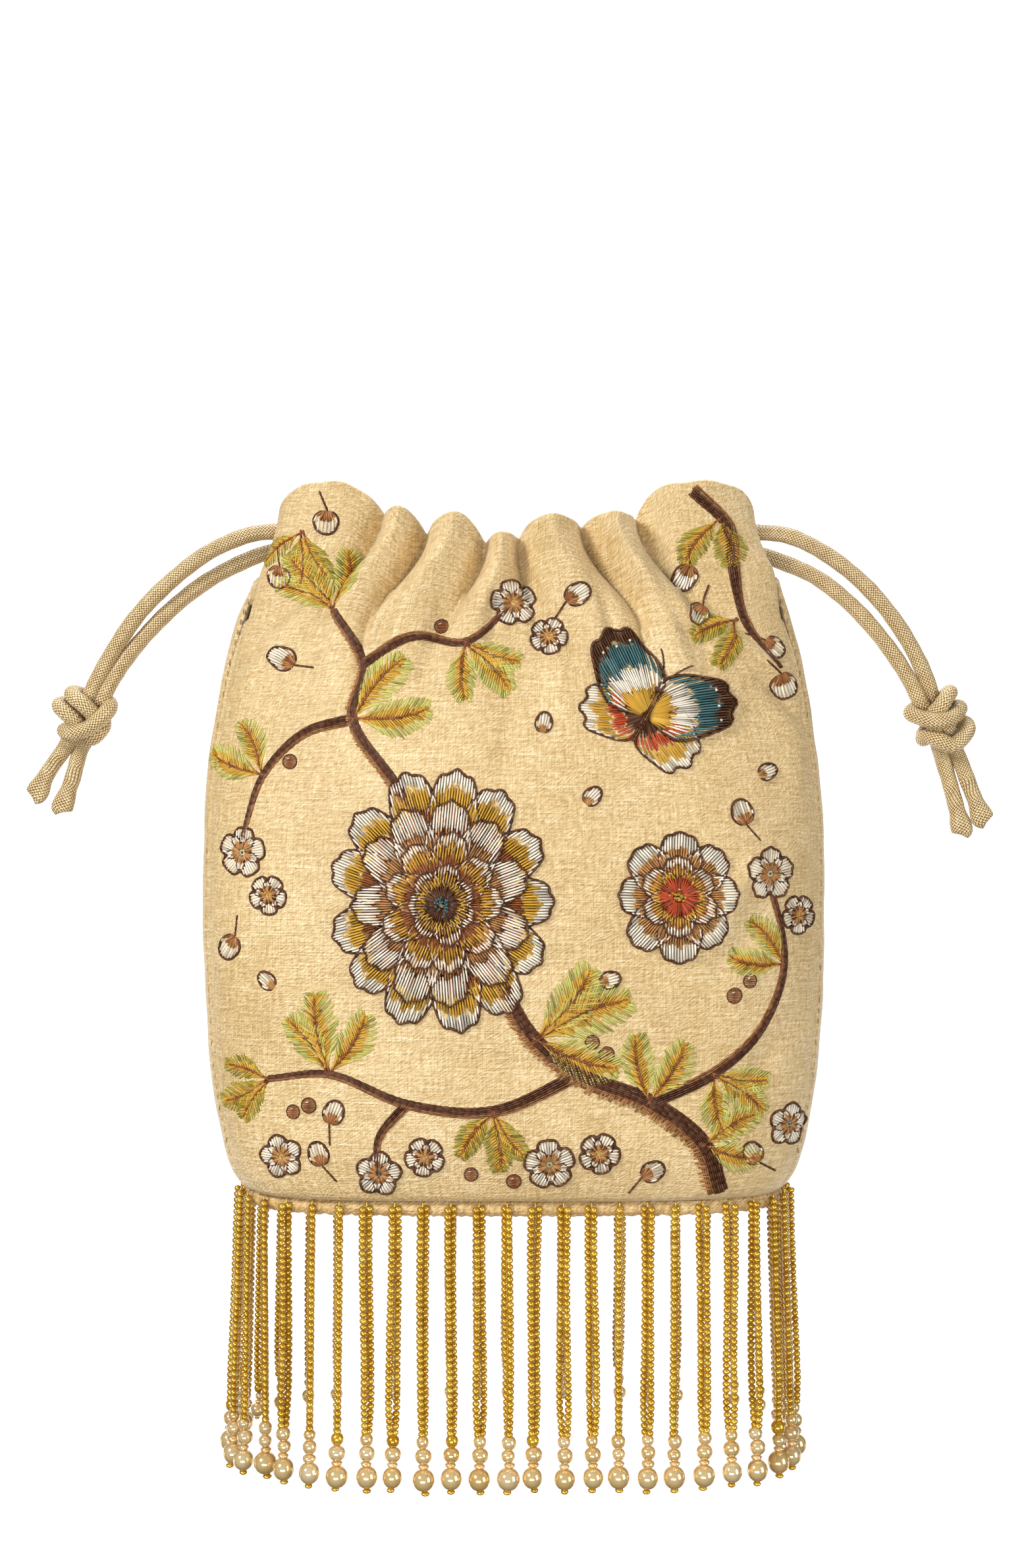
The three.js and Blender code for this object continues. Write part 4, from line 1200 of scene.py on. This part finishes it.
for place, angle, size in BUDS:
    bud(place, angle, size)
for place, radius in BERRIES:
    berry(place, radius)
for place, angle in FALLEN_PETALS:
    petal(place, angle, 6, 2.3, [(0, 0.45, "tan"), (0.35, 1, "ivory")], 0.1, lobes=0)
print("stitches:", sum(len(rows) for kept in STITCHES.values() for rows in kept))

# %% [markdown]
# ## Thread colours and the side seams
#
# Silk thread shines along its length, but its finish here is a little rougher than the cloth, with a
# weaker shine. Each stitch has its own tone. The side seams of the front are held down by a row of
# small stitches in the colour of the cloth.

# %% Threads
THREADS = {
    "ivory": (0.86, 0.79, 0.66), "tan": (0.47, 0.225, 0.07), "rust": (0.27, 0.08, 0.022),
    "brown": (0.1, 0.034, 0.013), "umber": (0.25, 0.1, 0.035), "gold": (0.6, 0.34, 0.035),
    "olive": (0.36, 0.3, 0.035), "green": (0.55, 0.52, 0.13), "teal": (0.065, 0.16, 0.17),
    "red": (0.5, 0.07, 0.02), "seam": (0.56, 0.385, 0.165),
}


def thread_finish(name, colour):
    """Silk thread: each stitch has a tone of its own, from half as bright to a little paler."""
    finish, tree, shader = new_finish(f"{name}_thread")
    tone = add_node(tree, "ShaderNodeAttribute", attribute_name="tone")
    colour = np.array(colour)
    pale = colour + 0.22 * (0.9 * colour**0.5 - colour)
    stops = [(0, tuple(0.5 * colour)), (0.5, tuple(0.92 * colour)), (1, tuple(pale))]
    wire(tree, colours_by(tree, tone.outputs["Fac"], stops), shader.inputs["Base Color"])
    shader.inputs["Roughness"].default_value = 0.48
    shader.inputs["Specular IOR Level"].default_value = 0.22
    return finish


print("thread colours:", len(THREADS))

# %% Sew the picture
SINK, STITCH_POINTS, SEAM_PITCH, SEAM_STITCH = 0.12, 11, 3.1, 2.0


def sew(name, colour, rows):
    """One piece from all the stitches of a colour, laid on the front of the cloth."""
    start, end, half, level = rows[:, :2], rows[:, 2:4], rows[:, 4, None], rows[:, 5, None]
    share = np.array([0, 0.1, 0.5, 0.9, 1])
    flat = start[:, None] + (end - start)[:, None] * share[:, None]
    z = np.clip(flat[..., 1], HEM_Z + 0.4, None)
    point, out = wall_at(-1, flat[..., 0] / form_at(z)[0], z)
    along = point[:, -1] - point[:, 0]
    across = np.cross(out, along[:, None])
    across /= np.linalg.norm(across, axis=2, keepdims=True)
    wide = (half * np.array([0.75, 1, 0.75]))[..., None]
    rise = (level + half * np.array([0.6, 1.05, 0.6]))[..., None]
    low = point + out * (0.4 * level[..., None] - SINK)
    aside = across[:, 1:4] * wide
    rings = np.stack([low[:, 1:4] - aside, point[:, 1:4] + out[:, 1:4] * rise, low[:, 1:4] + aside], 2)
    points = np.concatenate([rings.reshape(len(rows), 9, 3), low[:, [0, 4]]], 1)
    j, k = np.arange(3), (np.arange(3) + 1) % 3
    quads = np.concatenate([np.column_stack([r + j, r + 3 + j, r + 3 + k, r + k]) for r in (0, 3)])
    first_tip, last_tip = np.full(3, 9), np.full(3, 10)
    tips = np.vstack([np.column_stack([first_tip, j, k]), np.column_stack([last_tip, 6 + k, 6 + j])])
    shift = STITCH_POINTS * np.arange(len(rows))[:, None, None]
    shape = points.reshape(-1, 3), (quads + shift).reshape(-1, 4), (tips + shift).reshape(-1, 3)
    tone = np.repeat(np.clip(chance.normal(0.5, 0.28, len(rows)), 0, 1), STITCH_POINTS)
    return new_piece(name, shape, [thread_finish(name, colour)], tone=tone)


seam_z = np.arange(-180, -16, SEAM_PITCH)
for side in (-1, 1):
    place = np.column_stack([side * (form_at(seam_z)[0] - SEAM_INSET + 0.9), seam_z])
    lay("seam", place, place + [0, SEAM_STITCH], 0.25, 0.02)
for colour, kept in STITCHES.items():
    piece = sew(f"stitches_{colour}", THREADS[colour], np.vstack(kept))
    print(piece.name, "stitches", sum(len(k) for k in kept))

# %% [markdown]
# ## The base and its piping
#
# A soft cord covered with silk runs round the base and hides the join. The threads of the fringe
# pull it in a little at every strand, which makes it pucker. The base itself is a plain oval of silk
# that sags a little.

# %% Outline of the base and places of the strands
PIPING_RADIUS, PIPING_Z = 2.25, -192.85
BASE_HALF_WIDTH, BASE_HALF_DEPTH, BASE_SQUARE = 76.6, 35.8, 4
STRAND_RADIUS, STRAND_GAP = 1.5, 1.0
FRONT_SHIFT, FRONT_PITCH, BACK_SHIFT, BACK_PITCH = -1.9, 7.95, -2.2, 9.13


def base_outline(outward):
    """The outline of the base in plan from the middle of the front, by the right, and the run along it."""
    wide, deep, square = BASE_HALF_WIDTH, BASE_HALF_DEPTH, BASE_SQUARE
    angle = np.linspace(0, 2 * math.pi, 6001)
    s, c = np.sin(angle), np.cos(angle)
    x = wide * np.sign(s) * np.abs(s) ** (2 / square)
    y = -deep * np.sign(c) * np.abs(c) ** (2 / square)
    nx = np.sign(x) * np.abs(x / wide) ** (square - 1) / wide
    ny = np.sign(y) * np.abs(y / deep) ** (square - 1) / deep
    length = np.hypot(nx, ny)
    line = np.column_stack([x + outward * nx / length, y + outward * ny / length])
    return line, run_of(line)


def on_outline(outline, distance):
    """Points at distances along an outline, round and round."""
    line, run = outline
    at = np.mod(distance, run[-1])
    return np.column_stack([np.interp(at, run, line[:, 0]), np.interp(at, run, line[:, 1])])


hem = base_outline(PIPING_RADIUS + STRAND_GAP + STRAND_RADIUS)
ROUND = hem[1][-1]
front_places = FRONT_SHIFT + FRONT_PITCH * np.arange(-12, 14)
back_places = ROUND / 2 - (BACK_SHIFT + BACK_PITCH * np.arange(-11, 12))[::-1]
strand_places = np.concatenate([front_places, back_places])
print("strands:", len(strand_places), "round the hem:", round(ROUND), "mm")

# %% Piping
PIPING_STEPS, PIPING_SIDES, PIPING_GIRTH = 720, 16, 14.1
NO_TRIS = np.zeros((0, 3), int)


def make_piping():
    """A ring of covered cord, pinched at each strand and puckered between them, fuller on the outside."""
    middle = base_outline(0)
    whole = middle[1][-1]
    at = whole * np.arange(PIPING_STEPS) / PIPING_STEPS
    ahead = on_outline(middle, at + 0.2) - on_outline(middle, at - 0.2)
    ahead /= np.linalg.norm(ahead, axis=1, keepdims=True)
    out = np.column_stack([ahead[:, 1], -ahead[:, 0]])
    away = np.abs((at[:, None] - strand_places / ROUND * whole + whole / 2) % whole - whole / 2).min(1)
    pinch = 0.3 * np.exp(-((away / 0.8) ** 2))
    pucker = 0.12 * np.sin(at * 1.9 + np.sin(at * 0.37)) + 0.08 * np.sin(at * 3.1)
    angle = 2 * math.pi * np.arange(PIPING_SIDES) / PIPING_SIDES
    full = PIPING_RADIUS + 0.15 + 0.9 * np.maximum(np.cos(angle), 0)
    radius = full + (pucker - pinch)[:, None] * (0.6 + 0.4 * np.cos(angle + 0.6))
    plan = on_outline(middle, at)[:, None] + (radius * np.cos(angle))[..., None] * out[:, None]
    grid = np.dstack([plan, PIPING_Z + radius * np.sin(angle)])
    quads = grid_faces(PIPING_STEPS, PIPING_SIDES)[:, [0, 3, 2, 1]]
    i, j = np.meshgrid(np.arange(PIPING_STEPS), np.arange(PIPING_SIDES), indexing="ij")
    around = np.stack([j, j, j + 1, j + 1], -1).ravel() * PIPING_GIRTH / PIPING_SIDES * MM
    along = np.stack([i, i + 1, i + 1, i], -1).ravel() * whole / PIPING_STEPS * MM
    return new_piece("base_cord_piping", (grid.reshape(-1, 3), quads, NO_TRIS), [SHADED_PIPING_SILK],
                     cloth_map=np.column_stack([along, around]))


piping = make_piping()
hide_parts("base_piping")
print("piping faces", len(piping.data.polygons))

# %% Base
BASE_TOP_Z, BASE_UNDER_Z, BASE_POINTS = -192.1, -193.4, 160


def make_base():
    """Two layers of silk that sag a little, joined at the edge and each closed at its middle."""
    outline = base_outline(0.1 - PIPING_RADIUS)
    edge = on_outline(outline, outline[1][-1] * np.arange(BASE_POINTS) / BASE_POINTS)
    rings = np.linspace(1, 0.04, 26)[:, None]
    plan = edge[None] * rings[..., None]
    sag = (1 - rings) * (1 + rings)
    waves = 0.12 * np.sin(plan[..., 0] / 5) * np.sin(plan[..., 1] / 6) * (1 - rings)
    top, under = (np.dstack([plan, z - sag + waves]) for z in (BASE_TOP_Z, BASE_UNDER_Z))
    points, quads, tris = closed_rings(np.concatenate([under[::-1], top]))
    corners = np.concatenate([quads.ravel(), tris.ravel()])
    return new_piece("silk_base", (points, quads, tris), [SILK], cloth_map=points[corners, :2] * MM)


base = make_base()
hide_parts("base_panel")
print("base faces", len(base.data.polygons))

# %% [markdown]
# ## The beaded fringe
#
# Every strand is two strings of seed beads, sewn to the hem side by side, that meet in one stack of
# plated beads with a ball near the foot. Such beads are never quite alike, so sizes, tones and the
# order in the stack change from strand to strand, from a fixed seed.

# %% Bead shapes
SEED = lathe([(0.4, -0.5), (0.85, -0.31), (1, 0), (0.85, 0.31), (0.4, 0.5)], 8)
HOLE_ANGLE = 0.2
bead_angles = np.linspace(HOLE_ANGLE, math.pi - HOLE_ANGLE, 11)
ROUND_BEAD = lathe([(math.sin(a), -math.cos(a)) for a in bead_angles], 16)
SEED_PITCH, SEED_RADIUS = 1.74, 1.14
IN_GOLD, IN_PLATING = 0, 1
STACKS = [  # half width and height of each bead, from the top
    [(1.95, 3.6), (2.35, 4.2), (1.6, 1.6), (3.15, 6.0), (1.25, 1.3)],
    [(1.75, 3.1), (2.2, 3.9), (1.9, 2.4), (3.1, 5.9), (1.2, 1.3)],
    [(2.1, 4.0), (2.0, 3.4), (1.6, 1.6), (3.25, 6.2), (1.3, 1.3)],
    [(1.85, 3.4), (2.4, 4.3), (1.55, 1.6), (3.0, 5.7), (1.2, 1.4)],
]
print("triangles in a seed bead:", 2 * len(SEED[1]) + len(SEED[2]))


# %% String beads
def seed_string(top, hang, beside, sign, depth, number):
    """A string of seed beads down to a depth, to one side of its strand, and the tone of each point."""
    down = np.linspace(0.9, depth - 0.5, int(round((depth - 1.4) / SEED_PITCH)) + 1)
    near = np.clip((down - (depth - 8)) / 8, 0, 1)
    sway = 0.16 * np.sin(down / 11 + chance.uniform(0, 6))
    gap = (1.2 + 0.26 * np.sin(down / 15 + 1.9 * number + sign)) * (1 - 0.4 * near)
    at = top + hang * down[:, None] + beside * (sign * gap + sway)[:, None]
    wide = SEED_RADIUS * (1 + chance.normal(0, 0.035, len(down)))
    tall = SEED_PITCH * (1 + chance.normal(0, 0.03, len(down)))
    lean = chance.normal(0, 0.05, (len(down), 3)) - hang
    tone = np.clip(chance.normal(0.5, 0.2, len(down)), 0, 1)
    return copies(SEED, at, np.column_stack([wide, wide, tall]), lean), np.repeat(tone, len(SEED[0]))


def bead_stack(top, hang, stack, depth):
    """The larger beads at the foot of a strand: the beads, the tone of their points and their finish."""
    made = []
    for order, (half, height) in enumerate(stack):
        last = order == len(stack) - 1
        size = 1 + chance.normal(0, 0.03)
        at = top + hang * (depth + height / 2) + np.append(chance.normal(0, 0.3 if last else 0.12, 2), 0)
        scale = np.array([[half * size, half * size, 0.53 * height]])
        bead = copies(ROUND_BEAD, at[None], scale, chance.normal(0, 0.03, (1, 3)) - hang)
        gold = last or (order == 0 and chance.random() < 0.3)
        tone = np.clip(chance.normal(0.5, 0.2), 0, 1)
        made.append((bead, np.full(len(ROUND_BEAD[0]), tone), IN_GOLD if gold else IN_PLATING))
        depth += height
    return made


print("stacks of larger beads:", len(STACKS))

# %% Make the strands
STRAND_TOP_Z, STRAND_LENGTH, SPLAY_DEG = -191.75, 80.9, 1.4
BACK_STARTS_Y, BACK_STACK_SIZE, CORNER_X = 12, 0.68, 66


def make_strand(number, place):
    """Two strings of seed beads, the thread that sews them to the hem, and the stack at their foot."""
    x, y = place
    behind = y > BACK_STARTS_Y
    aside = x / (BASE_HALF_WIDTH + 1.6)
    splay = math.radians(SPLAY_DEG) * math.copysign(abs(aside) ** 6, aside)
    loose = 0.001 if behind else 0.005 if abs(x) < CORNER_X else 0.014
    hang = np.array([math.sin(splay) + chance.normal(0, loose), chance.normal(0, loose), -1.0])
    hang /= np.linalg.norm(hang)
    top = np.array([x, y, STRAND_TOP_Z])
    stack = np.array(STACKS[chance.integers(len(STACKS))]) * (BACK_STACK_SIZE if behind else 1.0)
    depth = STRAND_LENGTH + chance.normal(0, 0.25) - stack[:, 1].sum()
    swing = chance.uniform(-1, 1)
    turn = math.pi / 2 + math.copysign(0.3 + 0.65 * abs(swing), swing)
    outward = np.array([x / BASE_HALF_WIDTH**2, y / BASE_HALF_DEPTH**2, 0])
    outward /= np.linalg.norm(outward)
    beside = math.cos(turn) * np.array([-outward[1], outward[0], 0]) - abs(math.sin(turn)) * outward
    made = [(*seed_string(top, hang, beside, sign, depth, number), IN_GOLD) for sign in (-1, 1)]
    path = smooth_path([top + [0, 0, 1.3] - 1.1 * outward, top + [0, 0, 0.7], top - [0, 0, 0.6]], 0.5)
    thread = tube(path, np.full(len(path), 0.2), np.full(len(path), 0.2), 6)
    made.append((thread, np.full(len(thread[0]), 0.6), IN_GOLD))
    made += bead_stack(top, hang, stack, depth)
    parts, tones, finishes = zip(*made)
    finish_of = [np.full(len(part[kind]), finish)
                 for kind in (1, 2) for part, finish in zip(parts, finishes)]
    strand = new_piece(f"fringe_{number:02d}", joined(parts), [SEED_GOLD, PLATED],
                       finish_of=np.concatenate(finish_of), tone=np.concatenate(tones))
    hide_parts(f"bead_strand_{number:02d}")
    return strand


strands = [make_strand(i + 1, place) for i, place in enumerate(on_outline(hem, strand_places))]
print("strands:", len(strands), "faces in all:", sum(len(s.data.polygons) for s in strands))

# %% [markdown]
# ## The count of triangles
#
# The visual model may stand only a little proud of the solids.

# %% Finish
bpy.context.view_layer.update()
pieces = [p for p in bpy.context.scene.objects if p.type == "MESH"]
print("triangles in all:", sum(len(f.vertices) - 2 for p in pieces for f in p.data.polygons))
